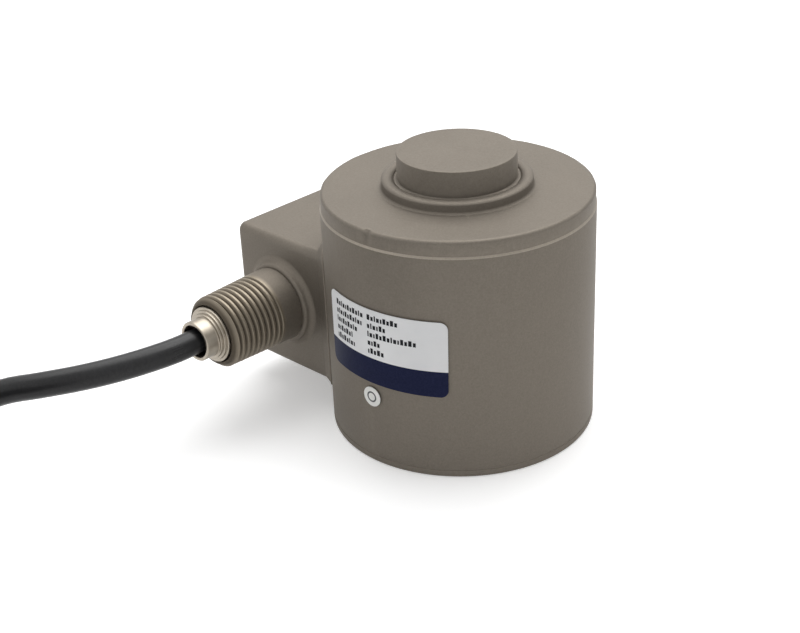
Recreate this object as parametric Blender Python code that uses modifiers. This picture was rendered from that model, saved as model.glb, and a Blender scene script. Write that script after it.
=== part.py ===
"""Column load cell: a welded steel canister round a gauged column, with a load button on
top, a terminal housing on its side, a pipe-threaded cable outlet and 6 m of cable.

Metres, +Z up. The origin is the centre of the canister's bottom face, on the column's
axis. The terminal housing stands on the -X side and its cable leaves along -Y.
"""

import math

import bmesh
import bpy
from mathutils import Matrix, Vector

MM = 0.001

# Clearances
SEAT_GAP = 0.3 * MM            # between two pieces that seat on one another
MERGE = 0.01 * MM              # weld distance of turned and curved meshes
SHARP_ANGLE = math.radians(35)  # edges bent more than this stay sharp

# Facets round the turned pieces
CAN_STEPS = 54
COLUMN_STEPS = 36
THREAD_STEPS = 32
FITTING_STEPS = 26
SEAL_STEPS = 20
COIL_STEPS = 40
SMALL_STEPS = 10
PIN_STEPS = 8
DOT_STEPS = 20

# Facets along the rounded profiles
EDGE_STEPS = 3
FILLET_STEPS = 2
COVE_STEPS = 4
CORNER_STEPS = 3
SIDE_SPANS = 8                 # along each long side that follows the canister

# Canister tube and base
CAN_RADIUS = 37.0 * MM
CAN_WALL = 3.0 * MM
CAN_HEIGHT = 64.0 * MM         # from the floor to the tube's top edge
TUBE_EDGE = 0.3 * MM           # bevel round the tube's top edge
BASE_RIM = 2.0 * MM            # thickness of the base under the tube
BASE_THICKNESS = 6.0 * MM
BASE_EDGE = 0.6 * MM           # rounding of the bottom corner
BASE_LAND = 13.4 * MM          # width of the base, from the column's foot to the tube's bore

# Top cover and its convoluted diaphragm
COVER_SET_IN = 0.55 * MM       # how far the cover's side stands inside the tube's
COVER_RISE = 4.4 * MM          # top of the cover over the tube's top edge
COVER_EDGE = 1.8 * MM          # rounding of the cover's top corner
COVER_SPIGOT = 3.5 * MM        # depth of the ring that centres the cover in the tube
SPIGOT_WALL = 3.0 * MM
DIAPHRAGM_SKIN = 0.9 * MM
DIAPHRAGM_RISE = 2.7 * MM      # diaphragm floor over the cover's top
BEAD_STAND = 3.95 * MM         # outer wall of the raised bead, from the button's hole
BEAD_ROUND = 1.0 * MM
BEAD_RISE = 0.65 * MM          # bead's crest over the diaphragm floor
BEAD_FOOT = 1.0 * MM           # fillet between the bead and the cover's top

# Sensing column
BUTTON_RADIUS = 16.05 * MM
BUTTON_STAND = 7.3 * MM        # button's face over the diaphragm floor
BUTTON_LENGTH = 12.0 * MM
BUTTON_EDGE = 0.25 * MM
NECK_RADIUS = 12.0 * MM
FOOT_HEIGHT = 7.0 * MM
UPPER_COVE = 8.0 * MM          # height of the sweep from the button to the neck
LOWER_COVE = 6.0 * MM
FLAT_DISTANCE = 8.5 * MM       # milled flats, from the axis
FLAT_HEIGHT = 26.0 * MM
FLAT_CENTRE = 38.0 * MM        # height of the flats' middle
FLAT_CORNER = 2.0 * MM         # cutter radius at the ends of a flat

# Strain gauges
GAUGE_WIDTH = 7.0 * MM
GAUGE_HEIGHT = 12.0 * MM
GAUGE_NOTCH = 1.6 * MM
GAUGE_THICKNESS = 0.3 * MM
WIRE_RADIUS = 0.5 * MM

# Bridge board round the column's foot
BOARD_THICKNESS = 1.6 * MM
BOARD_SIDE_GAP = 7.0 * MM      # between the board's edge and the tube's bore
BOARD_BORE_GAP = 0.6 * MM      # between the neck and the board's bore
SPACER_RADIUS = 2.6 * MM
SPACER_HEIGHT = 7.7 * MM
SPACER_INSET = 4.0 * MM        # from the board's edge to a spacer's axis
SCREW_RADIUS = 1.25 * MM
SCREW_HEAD_RADIUS = 2.25 * MM
SCREW_HEAD_HEIGHT = 1.6 * MM
SCREW_LENGTH = 6.0 * MM        # under the head
RESISTOR_RADIUS = 1.2 * MM
RESISTOR_LENGTH = 6.0 * MM
RESISTOR_WAIST = 0.95 * MM     # radius between its two end caps
BRIDGE_WIRE_INSET = 2.0 * MM   # from the board's edge to the first pair of wires
BRIDGE_WIRE_ROW = 3.0 * MM     # and from there to the second pair
BRIDGE_WIRE_RISE = 3.0 * MM    # straight up from the board
BRIDGE_WIRE_BEND = 2.0 * MM    # height of the turn towards a pin
BRIDGE_WIRE_SPACING = 3.0 * MM

# Terminal housing
HOUSING_DEPTH = 26.7 * MM      # from the canister's side to the outer face
HOUSING_HALF_WIDTH = 25.7 * MM
HOUSING_HEIGHT = 40.1 * MM
HOUSING_BOTTOM = 8.8 * MM
HOUSING_EDGE = 2.5 * MM
HOUSING_WALL = 3.5 * MM
WELD_LEG = 3.0 * MM

# Cable outlet: half-inch tapered pipe thread, 14 to the inch
OUTLET_STAND = 8.4 * MM        # outlet's axis, from the canister's side
OUTLET_RAISE = 0.55 * MM       # and over the housing's middle
ADAPTOR_LENGTH = 26.5 * MM     # from the housing's face to the end face
ADAPTOR_WALL = 2.5 * MM        # from the bore to the crests
COLLAR_STEP = 1.65 * MM        # collar's foot outside the crests
COLLAR_LENGTH = 2.0 * MM
COLLAR_SAG = 0.1 * MM          # how hollow the collar's fillet is
SPIGOT_STEP = 1.2 * MM         # crests outside the spigot in the housing's wall
THREAD_START = 7.9 * MM
THREAD_RADIUS = 10.8 * MM      # over the crests, at the large end
THREAD_PITCH = 25.4 / 14 * MM
THREAD_DEPTH = 1.3 * MM
THREAD_TAPER = math.radians(1.79)
THREAD_FAINTEST = 0.05 * MM    # depth where the thread fades into the neck
THREAD_CREST = (0.4, 0.58)     # where each crest's flat begins and ends, in pitches
END_CHAMFER = 1.9 * MM         # crests outside the end face

# Gland in the outlet's bore
GLAND_DEPTH = 8.0 * MM         # of its body inside the bore
GLAND_MOUTH_GAP = 1.2 * MM     # between the cable and the tube round it
GLAND_TUBE_WALL = 1.0 * MM
GLAND_TUBE_REACH = 6.0 * MM    # mouth of the tube, from the adaptor's end face
GLAND_STEP_HEIGHT = 0.65 * MM
GLAND_STEP_WIDTH = 0.75 * MM
GLAND_SEAT = 1.6 * MM          # width of the shoulder that the grommet seats on
GLAND_SHOULDER = 1.8 * MM      # thickness of that shoulder
GLAND_EDGE = 0.3 * MM
CLAMP_THICKNESS = 1.5 * MM
O_RING_RADIUS = 0.4 * MM
O_RING_PLACE = 2.4 * MM        # from the inner end of the gland's body
O_RING_SIDES = 6

# Feedthrough between the canister and the housing
FEEDTHROUGH_RADIUS = 7.6 * MM
FEEDTHROUGH_WALL = 1.8 * MM
FEEDTHROUGH_FLANGE = 9.4 * MM
FLANGE_THICKNESS = 1.4 * MM
PIN_RADIUS = 0.5 * MM
PIN_SPREAD = 2.4 * MM          # each pin's distance from the axis, across and up
PIN_INNER_REACH = 3.0 * MM     # past the tube's inner face
TERMINAL_SIDE_GAP = 11.2 * MM  # between the board and the housing's side walls
TERMINAL_TOP_GAP = 6.55 * MM   # between the board and its top and bottom walls
TERMINAL_STAND = 1.8 * MM      # from the feedthrough's flange to the board
CONDUCTOR_RADIUS = 0.7 * MM
CONDUCTOR_SPREAD = 1.2 * MM
CONDUCTOR_ROW = -6.0 * MM      # across the board, where the conductors end on it
CONDUCTOR_INSET = 3.0 * MM     # from the board's top and bottom edges
CONDUCTOR_FAN = 9.0 * MM       # how far before that row they spread
CONDUCTOR_TURN = 4.0 * MM      # and how far before it they turn to the board
CONDUCTOR_TIP = 1.0 * MM       # straight onto the board
CONDUCTOR_SPACING = 4.0 * MM

# Label and inspection dot
LABEL_FROM = math.radians(-114.2)
LABEL_TO = math.radians(-52.9)
LABEL_BOTTOM = 24.6 * MM
LABEL_TOP = 45.2 * MM
LABEL_THICKNESS = 0.2 * MM
LABEL_STEPS = 10
DOT_RADIUS = 3.1 * MM
DOT_ANGLE = math.radians(-88.0)
DOT_HEIGHT = 20.2 * MM

# Cable, where it lies from the gland to its coil, in millimetres from the gland's mouth
CABLE_RADIUS = 3.5 * MM
CABLE_POINT_SPACING = 5.0 * MM
CABLE_STUB = 1.4 * MM          # past the clamp ring, inside the outlet
CABLE_ROUTE = (
    (0.0, 0.0, 0.0),
    (-0.3, -6.3, -0.05),
    (-1.6, -12.5, -0.2),
    (-3.8, -19.2, -0.5),
    (-7.0, -25.8, -1.0),
    (-11.2, -32.1, -1.7),
    (-17.0, -39.2, -2.6),
    (-24.0, -46.7, -4.0),
    (-30.6, -56.8, -7.4),
    (-35.5, -69.2, -12.6),
    (-38.4, -82.8, -18.4),
    (-39.5, -96.3, -22.4),
    (-39.4, -109.8, -24.2),
    (-39.1, -116.1, -24.4),
)

# Cable coil: turns side by side and on each other, a cable's diameter apart
COIL_ASIDE = 12.4 * MM         # its centre from the gland's mouth, along +X
COIL_AHEAD = 141.3 * MM        # and along -Y
COIL_MEAN_RADIUS = 39.5 * MM
COIL_COLUMNS = 4
COIL_LAYERS = 6
COIL_CORNER = 3.2 * MM
TIE_THICKNESS = 1.0 * MM
TIE_WIDTH = 5.0 * MM
TIE_ANGLES = (math.radians(-90), math.radians(30))
TIE_FLOOR_GAP = 0.1 * MM
TAIL_FROM = math.radians(140)
TAIL_TO = math.radians(210)
TAIL_STEPS = 12
LEAD_RADIUS = 0.8 * MM
LEAD_SWEEP = math.radians(42)  # angle round the coil that the bare leads cover
LEAD_ROOT_RISE = 0.95 * MM     # neighbouring leads leave the jacket above and below its middle
LEAD_ROOT_SPREAD = 1.15 * MM   # between neighbouring leads at the jacket's end
LEAD_SPREAD = 4.0 * MM         # and at their tips
LEAD_STEPS = 8
LEAD_FALL = (0.25, 0.85)       # shares of a lead's length between which it sinks to the coil

# Heights and places that follow from the sizes above
COVER_TOP = CAN_HEIGHT + COVER_RISE
DIAPHRAGM_FLOOR = COVER_TOP + DIAPHRAGM_RISE
BUTTON_TOP = DIAPHRAGM_FLOOR + BUTTON_STAND
BUTTON_HOLE = BUTTON_RADIUS + SEAT_GAP
BEAD_RADIUS = BUTTON_HOLE + BEAD_STAND
TUBE_BORE = CAN_RADIUS - CAN_WALL
BASE_SPIGOT = TUBE_BORE - SEAT_GAP
BASE_HOLE = BASE_SPIGOT - BASE_LAND
FOOT_RADIUS = BASE_HOLE - SEAT_GAP
BOARD_BOTTOM = BASE_THICKNESS + SEAT_GAP + SPACER_HEIGHT + SEAT_GAP
BOARD_TOP = BOARD_BOTTOM + BOARD_THICKNESS
BOARD_BORE = NECK_RADIUS + BOARD_BORE_GAP
BOARD_RADIUS = TUBE_BORE - BOARD_SIDE_GAP
SPACER_CIRCLE = BOARD_RADIUS - SPACER_INSET
RESISTOR_CIRCLE = (BOARD_BORE + BOARD_RADIUS) / 2
HOUSING_REACH = CAN_RADIUS + HOUSING_DEPTH
HOUSING_MIDDLE = HOUSING_BOTTOM + HOUSING_HEIGHT / 2
OUTLET_X = -(CAN_RADIUS + OUTLET_STAND)
OUTLET_Z = HOUSING_MIDDLE + OUTLET_RAISE
OUTLET_FACE = Vector((OUTLET_X, -HOUSING_HALF_WIDTH, OUTLET_Z))
OUTLET_BORE = THREAD_RADIUS - ADAPTOR_WALL
COLLAR_RADIUS = THREAD_RADIUS + COLLAR_STEP
SPIGOT_RADIUS = THREAD_RADIUS - SPIGOT_STEP
END_RADIUS = THREAD_RADIUS - END_CHAMFER
GLAND_RADIUS = OUTLET_BORE - SEAT_GAP
GLAND_BORE = CABLE_RADIUS + SEAT_GAP
GLAND_TUBE_BORE = CABLE_RADIUS + GLAND_MOUTH_GAP
GLAND_TUBE_RADIUS = GLAND_TUBE_BORE + GLAND_TUBE_WALL
GLAND_POCKET = GLAND_TUBE_BORE + GLAND_SEAT
FLANGE_FACE = CAN_RADIUS + SEAT_GAP + FLANGE_THICKNESS
TERMINAL_FACE = FLANGE_FACE + TERMINAL_STAND + BOARD_THICKNESS
TERMINAL_WIDTH = 2 * (HOUSING_HALF_WIDTH - HOUSING_WALL - TERMINAL_SIDE_GAP)
TERMINAL_HEIGHT = HOUSING_HEIGHT - 2 * (HOUSING_WALL + TERMINAL_TOP_GAP)
CABLE_EXIT = OUTLET_FACE - Vector((0, ADAPTOR_LENGTH + GLAND_TUBE_REACH, 0))
CABLE_HOLD = GLAND_TUBE_REACH + GLAND_DEPTH + SEAT_GAP + CLAMP_THICKNESS + CABLE_STUB
CABLE_START = CABLE_EXIT + Vector((0, CABLE_HOLD, 0))
COIL_CENTRE = Vector((CABLE_EXIT.x + COIL_ASIDE, CABLE_EXIT.y - COIL_AHEAD, 0))
COIL_WIDTH = 2 * CABLE_RADIUS * COIL_COLUMNS
COIL_HEIGHT = 2 * CABLE_RADIUS * COIL_LAYERS
COIL_BOTTOM = TIE_FLOOR_GAP + TIE_THICKNESS + SEAT_GAP
COIL_TOP = COIL_BOTTOM + COIL_HEIGHT
TAIL_RADIUS = COIL_MEAN_RADIUS + CABLE_RADIUS   # over the second turn from outside

OUTLET_TURN = (math.radians(90), 0.0, 0.0)      # local +Z points along -Y
SIDE_TURN = (0.0, math.radians(-90), 0.0)       # local +Z points along -X

# Finishes: colour, metallic, roughness
FINISHES = {
    "blasted_steel": ((0.36, 0.34, 0.31), 1.0, 0.5),
    "turned_steel": ((0.55, 0.54, 0.52), 1.0, 0.3),
    "nickel": ((0.66, 0.61, 0.52), 1.0, 0.25),
    "jacket": ((0.02, 0.02, 0.022), 0.0, 0.35),
    "seal_rubber": ((0.03, 0.03, 0.03), 0.0, 0.6),
    "board": ((0.06, 0.22, 0.1), 0.0, 0.5),
    "gauge_film": ((0.55, 0.36, 0.1), 0.0, 0.4),
    "glass_seal": ((0.1, 0.2, 0.16), 0.0, 0.1),
    "gold_pin": ((0.8, 0.6, 0.25), 1.0, 0.25),
    "resistor": ((0.5, 0.62, 0.68), 0.0, 0.5),
    "tie": ((0.015, 0.015, 0.015), 0.0, 0.5),
    "label": ((0.85, 0.85, 0.86), 0.0, 0.4),
    "wire_red": ((0.55, 0.03, 0.03), 0.0, 0.4),
    "wire_black": ((0.02, 0.02, 0.02), 0.0, 0.4),
    "wire_green": ((0.03, 0.3, 0.08), 0.0, 0.4),
    "wire_white": ((0.8, 0.8, 0.78), 0.0, 0.4),
    "tinned": ((0.7, 0.7, 0.7), 1.0, 0.35),
}


# Scene and materials

def empty_scene():
    for thing in list(bpy.data.objects):
        bpy.data.objects.remove(thing)


def new_collection(name):
    collection = bpy.data.collections.new(name)
    bpy.context.scene.collection.children.link(collection)
    return collection


def finish(name):
    """The Principled material of one finish, made the first time it is asked for."""
    if name in bpy.data.materials:
        return bpy.data.materials[name]
    colour, metallic, roughness = FINISHES[name]
    material = bpy.data.materials.new(name)
    material.use_nodes = True
    shader = material.node_tree.nodes["Principled BSDF"]
    shader.inputs["Base Color"].default_value = (*colour, 1.0)
    shader.inputs["Metallic"].default_value = metallic
    shader.inputs["Roughness"].default_value = roughness
    material.diffuse_color = (*colour, 1.0)
    return material


empty_scene()
PARTS = new_collection("column_load_cell")
CUTTERS = new_collection("cutters")


# Shape helpers

def add_part(name, data, look, place=(0, 0, 0), turn=(0, 0, 0)):
    part = bpy.data.objects.new(name, data)
    part.location = place
    part.rotation_euler = turn
    part.data.materials.append(finish(look))
    PARTS.objects.link(part)
    return part


def as_cutter(name, mesh, place=(0, 0, 0), turn=(0, 0, 0)):
    cutter = bpy.data.objects.new(name, mesh)
    cutter.location = place
    cutter.rotation_euler = turn
    cutter.hide_render = True
    cutter.display_type = "WIRE"
    CUTTERS.objects.link(cutter)
    return cutter


def cut(part, cutter):
    boolean = part.modifiers.new("Cut " + cutter.name, "BOOLEAN")
    boolean.operation = "DIFFERENCE"
    boolean.solver = "EXACT"
    boolean.object = cutter


def mesh_from(name, build):
    """A mesh filled by one bmesh operation or function."""
    bm = bmesh.new()
    build(bm)
    bmesh.ops.recalc_face_normals(bm, faces=bm.faces)
    mesh = bpy.data.meshes.new(name)
    bm.to_mesh(mesh)
    bm.free()
    mesh.shade_smooth()
    mesh.set_sharp_from_angle(angle=SHARP_ANGLE)
    return mesh


def turned(name, profile, steps, look, place=(0, 0, 0), turn=(0, 0, 0)):
    """A profile of (radius, height) points spun round local Z. A profile that starts
    and ends on the axis stays open; any other is closed into a ring. It runs outwards
    along the top, down the outer side and back inwards."""
    closed = profile[0][0] > 0
    count = len(profile)
    edges = [(i, i + 1) for i in range(count - 1)]
    if closed:
        edges.append((count - 1, 0))
    mesh = bpy.data.meshes.new(name)
    mesh.from_pydata([(radius, 0, height) for radius, height in profile], edges, [])
    part = add_part(name, mesh, look, place, turn)
    screw = part.modifiers.new("Turn", "SCREW")
    screw.axis = "Z"
    screw.angle = 2 * math.pi
    screw.steps = steps
    screw.render_steps = steps
    screw.use_merge_vertices = True
    screw.merge_threshold = MERGE
    screw.use_smooth_shade = True
    return part


def ring(inner, outer, bottom, top):
    """Profile of a plain ring or washer."""
    return [(inner, top), (outer, top), (outer, bottom), (inner, bottom)]


def arc(centre, radius, start, end, steps):
    """Profile points on an arc, angles in degrees from the outward direction."""
    points = []
    for i in range(steps + 1):
        angle = math.radians(start + (end - start) * i / steps)
        points.append((centre[0] + radius * math.cos(angle), centre[1] + radius * math.sin(angle)))
    return points


def cove(start, end, steps):
    """A quarter ellipse that leaves start along the radius and meets end along the axis."""
    points = []
    for i in range(1, steps + 1):
        angle = math.pi / 2 * i / steps
        radius = end[0] + (start[0] - end[0]) * (1 - math.sin(angle))
        height = start[1] + (end[1] - start[1]) * (1 - math.cos(angle))
        points.append((radius, height))
    return points


def cylinder_mesh(name, radius, length, steps):
    def build(bm):
        bmesh.ops.create_cone(
            bm, cap_ends=True, segments=steps, radius1=radius, radius2=radius, depth=length)
    return mesh_from(name, build)


def box_mesh(name, size):
    def build(bm):
        bmesh.ops.create_cube(bm, size=1.0, matrix=Matrix.Diagonal((*size, 1.0)))
    return mesh_from(name, build)


def bored_hole(part, name, radius, length, place, turn=(0, 0, 0), steps=SMALL_STEPS):
    cut(part, as_cutter(name, cylinder_mesh(name, radius, length, steps), place, turn))


def wire(name, points, radius, look, bevel_resolution=1):
    """A round wire or cable with filled caps through the points given."""
    curve = bpy.data.curves.new(name, "CURVE")
    curve.dimensions = "3D"
    curve.bevel_depth = radius
    curve.bevel_resolution = bevel_resolution
    curve.use_fill_caps = True
    spline = curve.splines.new("POLY")
    spline.points.add(len(points) - 1)
    for point, place in zip(spline.points, points):
        point.co = (*place, 1.0)
    return add_part(name, curve, look)


def plate(name, outlines, thickness, look, place=(0, 0, 0), turn=(0, 0, 0)):
    """A flat plate from a 2D outline; further outlines are its holes."""
    curve = bpy.data.curves.new(name, "CURVE")
    curve.dimensions = "2D"
    curve.fill_mode = "BOTH"
    curve.extrude = thickness / 2
    for outline in outlines:
        spline = curve.splines.new("POLY")
        spline.points.add(len(outline) - 1)
        for point, (across, up) in zip(spline.points, outline):
            point.co = (across, up, 0, 1)
        spline.use_cyclic_u = True
    return add_part(name, curve, look, place, turn)


def rounded_rectangle(half_width, half_height, corner, corner_steps, side_steps=1):
    """Outline points of a rounded rectangle; its top and bottom take side_steps spans."""
    points = []
    centres = (
        (half_width - corner, half_height - corner, 0),
        (corner - half_width, half_height - corner, 90),
        (corner - half_width, corner - half_height, 180),
        (half_width - corner, corner - half_height, 270),
    )
    for index, (across, up, start) in enumerate(centres):
        points += arc((across, up), corner, start, start + 90, corner_steps)
        if index in (0, 2):
            reach = 2 * across
            height = points[-1][1]
            points += [(across - reach * i / side_steps, height) for i in range(1, side_steps)]
    return points


def loft(bm, loops):
    """Skin loops of equal length in order and cap the first and the last."""
    rows = [[bm.verts.new(point) for point in loop] for loop in loops]
    count = len(rows[0])
    for lower, upper in zip(rows, rows[1:]):
        for i in range(count):
            bm.faces.new((lower[i], lower[(i + 1) % count], upper[(i + 1) % count], upper[i]))
    bm.faces.new(rows[0])
    bm.faces.new(rows[-1])


def smooth_path(route, spacing):
    """Points about a spacing apart on the smooth curve through a route's points."""
    ends = [2 * route[0] - route[1]] + list(route) + [2 * route[-1] - route[-2]]
    path = [route[0]]
    for before, here, ahead, after in zip(ends, ends[1:], ends[2:], ends[3:]):
        spans = max(1, round((ahead - here).length / spacing))
        for i in range(1, spans + 1):
            t = i / spans
            bend = (2 * before - 5 * here + 4 * ahead - after) * t * t
            swing = (3 * here - before - 3 * ahead + after) * t * t * t
            path.append(0.5 * (2 * here + (ahead - before) * t + bend + swing))
    return path


def round_z(radius, angle, height):
    return Vector((radius * math.cos(angle), radius * math.sin(angle), height))


# Canister

def canister_tube():
    bottom = BASE_RIM + SEAT_GAP
    profile = [
        (TUBE_BORE, CAN_HEIGHT),
        (CAN_RADIUS - TUBE_EDGE, CAN_HEIGHT),
        (CAN_RADIUS, CAN_HEIGHT - TUBE_EDGE),
        (CAN_RADIUS, bottom),
        (TUBE_BORE, bottom),
    ]
    tube = turned("canister_tube", profile, CAN_STEPS, "blasted_steel")
    middle = (-(TUBE_BORE + CAN_RADIUS) / 2, 0, OUTLET_Z)
    bore = FEEDTHROUGH_RADIUS + SEAT_GAP
    bored_hole(tube, "feedthrough_hole", bore, 3 * CAN_WALL, middle, SIDE_TURN, FITTING_STEPS)


def base_plate():
    """A ring that closes the canister between its tube and the column's foot."""
    corner = (CAN_RADIUS - BASE_EDGE, BASE_EDGE)
    profile = [
        (BASE_HOLE, BASE_THICKNESS),
        (BASE_SPIGOT, BASE_THICKNESS),
        (BASE_SPIGOT, BASE_RIM),
        (CAN_RADIUS, BASE_RIM),
    ]
    profile += arc(corner, BASE_EDGE, 0, -90, 1)
    profile += [(BASE_HOLE, 0)]
    turned("base_plate", profile, CAN_STEPS, "blasted_steel")


def top_cover():
    """One turned piece: a thick rim, a thin web, and a raised bead round the button."""
    side = CAN_RADIUS - COVER_SET_IN
    spigot = TUBE_BORE - SEAT_GAP
    bead = (BEAD_RADIUS - BEAD_ROUND, DIAPHRAGM_FLOOR + BEAD_RISE - BEAD_ROUND)
    foot = (BEAD_RADIUS + BEAD_FOOT, COVER_TOP + BEAD_FOOT)
    edge = (side - COVER_EDGE, COVER_TOP - COVER_EDGE)
    meets_floor = 180 - math.degrees(math.asin((BEAD_ROUND - BEAD_RISE) / BEAD_ROUND))
    web = COVER_TOP - DIAPHRAGM_SKIN
    inside = BEAD_RADIUS - DIAPHRAGM_SKIN
    profile = [(BUTTON_HOLE, DIAPHRAGM_FLOOR)]
    profile += arc(bead, BEAD_ROUND, meets_floor, 0, EDGE_STEPS)
    profile += arc(foot, BEAD_FOOT, 180, 270, FILLET_STEPS)
    profile += arc(edge, COVER_EDGE, 90, 0, EDGE_STEPS)
    profile += [
        (side, CAN_HEIGHT + SEAT_GAP),
        (spigot, CAN_HEIGHT + SEAT_GAP),
        (spigot, CAN_HEIGHT - COVER_SPIGOT),
        (spigot - SPIGOT_WALL, CAN_HEIGHT - COVER_SPIGOT),
        (spigot - SPIGOT_WALL, web),
        (inside + DIAPHRAGM_SKIN / 2, web),
        (inside, web + DIAPHRAGM_SKIN),
        (inside, DIAPHRAGM_FLOOR - DIAPHRAGM_SKIN),
        (BUTTON_HOLE, DIAPHRAGM_FLOOR - DIAPHRAGM_SKIN),
    ]
    turned("top_cover", profile, CAN_STEPS, "blasted_steel")


# Sensing column and what is bonded to it

def sensing_column():
    """Load button, neck, gauged section with four milled flats, and foot, in one bar."""
    button_bottom = BUTTON_TOP - BUTTON_LENGTH
    neck_top = (NECK_RADIUS, button_bottom - UPPER_COVE)
    neck_bottom = (NECK_RADIUS, FOOT_HEIGHT + LOWER_COVE)
    profile = [
        (0, BUTTON_TOP),
        (BUTTON_RADIUS - BUTTON_EDGE, BUTTON_TOP),
        (BUTTON_RADIUS, BUTTON_TOP - BUTTON_EDGE),
        (BUTTON_RADIUS, button_bottom),
    ]
    profile += cove((BUTTON_RADIUS, button_bottom), neck_top, COVE_STEPS)
    profile += cove((FOOT_RADIUS, FOOT_HEIGHT), neck_bottom, COVE_STEPS)[::-1]
    profile += [(FOOT_RADIUS, FOOT_HEIGHT), (FOOT_RADIUS, 0), (0, 0)]
    column = turned("sensing_column", profile, COLUMN_STEPS, "turned_steel")
    depth = NECK_RADIUS - FLAT_DISTANCE + FLAT_CORNER
    for index in range(4):
        angle = math.pi / 2 * index
        block = box_mesh("flat_block", (2 * depth, 3 * NECK_RADIUS, FLAT_HEIGHT))
        place = round_z(FLAT_DISTANCE + depth, angle, FLAT_CENTRE)
        cutter = as_cutter(f"flat_cutter_{index + 1}", block, place)
        cutter.rotation_euler.z = angle
        bevel = cutter.modifiers.new("Cutter corner", "BEVEL")
        bevel.width = FLAT_CORNER
        bevel.segments = 2
        cut(column, cutter)


def strain_gauges():
    """A foil gauge on each flat: a notched film, its long side up the column."""
    half_width = GAUGE_WIDTH / 2
    half_height = GAUGE_HEIGHT / 2
    notch = half_width - GAUGE_NOTCH
    outline = [
        (half_width, half_height), (-half_width, half_height), (-half_width, GAUGE_NOTCH),
        (-notch, 0), (-half_width, -GAUGE_NOTCH), (-half_width, -half_height),
        (half_width, -half_height), (half_width, -GAUGE_NOTCH), (notch, 0), (half_width, GAUGE_NOTCH),
    ]
    middle = FLAT_DISTANCE + SEAT_GAP + GAUGE_THICKNESS / 2
    for index in range(4):
        angle = math.pi / 2 * index
        turn = (math.radians(90), 0, angle + math.radians(90))
        place = round_z(middle, angle, FLAT_CENTRE)
        plate(f"strain_gauge_{index + 1}", [outline], GAUGE_THICKNESS, "gauge_film", place, turn)


def gauge_leads():
    """A lead from under each gauge, out over the end of its flat and down to the board."""
    start = FLAT_DISTANCE + SEAT_GAP + GAUGE_THICKNESS + SEAT_GAP + WIRE_RADIUS
    clear = NECK_RADIUS + SEAT_GAP + WIRE_RADIUS
    top = FLAT_CENTRE - GAUGE_HEIGHT / 2
    step = FLAT_CENTRE - FLAT_HEIGHT / 2
    landing = BOARD_TOP + SEAT_GAP
    splay = 3 * WIRE_RADIUS             # how far out the lead's foot stands
    route = [
        (start, top + WIRE_RADIUS),
        (start, top - WIRE_RADIUS),
        (start + WIRE_RADIUS, (top + step) / 2 + WIRE_RADIUS),
        (clear, step + WIRE_RADIUS),
        (clear + splay / 3, (step + landing) / 2),
        (clear + splay, landing + 2 * WIRE_RADIUS),
        (clear + splay, landing),
    ]
    looks = ("wire_red", "wire_black", "wire_green", "wire_white")
    for index, look in enumerate(looks):
        angle = math.pi / 2 * index
        points = [round_z(radius, angle, height) for radius, height in route]
        wire(f"gauge_lead_{index + 1}", points, WIRE_RADIUS, look)


# Bridge board and its fasteners

def bridge_board():
    profile = ring(BOARD_BORE, BOARD_RADIUS, BOARD_BOTTOM, BOARD_TOP)
    board = turned("bridge_board", profile, COLUMN_STEPS, "board")
    middle = (BOARD_BOTTOM + BOARD_TOP) / 2
    for index in range(3):
        angle = math.radians(30 + 120 * index)
        place = round_z(SPACER_CIRCLE, angle, middle)
        bore = SCREW_RADIUS + SEAT_GAP
        bored_hole(board, f"board_hole_{index + 1}", bore, 3 * BOARD_THICKNESS, place)
        board_fasteners(index + 1, angle)
    for index, degrees in enumerate((60, 120, 210, 330)):
        trim_resistor(index + 1, math.radians(degrees))


def board_fasteners(number, angle):
    foot = round_z(SPACER_CIRCLE, angle, BASE_THICKNESS + SEAT_GAP)
    spacer = ring(SCREW_RADIUS + SEAT_GAP, SPACER_RADIUS, 0, SPACER_HEIGHT)
    turned(f"board_spacer_{number}", spacer, SMALL_STEPS, "nickel", foot)
    head = round_z(SPACER_CIRCLE, angle, BOARD_TOP + SEAT_GAP)
    screw = [
        (0, SCREW_HEAD_HEIGHT), (SCREW_HEAD_RADIUS, SCREW_HEAD_HEIGHT), (SCREW_HEAD_RADIUS, 0),
        (SCREW_RADIUS, 0), (SCREW_RADIUS, -SCREW_LENGTH), (0, -SCREW_LENGTH),
    ]
    turned(f"board_screw_{number}", screw, SMALL_STEPS, "turned_steel", head)


def trim_resistor(number, angle):
    """A small turned body that lies on the board, across the radius."""
    end = RESISTOR_LENGTH / 2
    cap = end / 2
    waist = end / 3
    profile = [
        (0, end), (RESISTOR_RADIUS, end), (RESISTOR_RADIUS, cap), (RESISTOR_WAIST, waist),
        (RESISTOR_WAIST, -waist), (RESISTOR_RADIUS, -cap), (RESISTOR_RADIUS, -end), (0, -end),
    ]
    place = round_z(RESISTOR_CIRCLE, angle, BOARD_TOP + SEAT_GAP + RESISTOR_RADIUS)
    turn = (math.radians(90), 0, angle)
    turned(f"trim_resistor_{number}", profile, SMALL_STEPS, "resistor", place, turn)


# Feedthrough and terminal board

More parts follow.
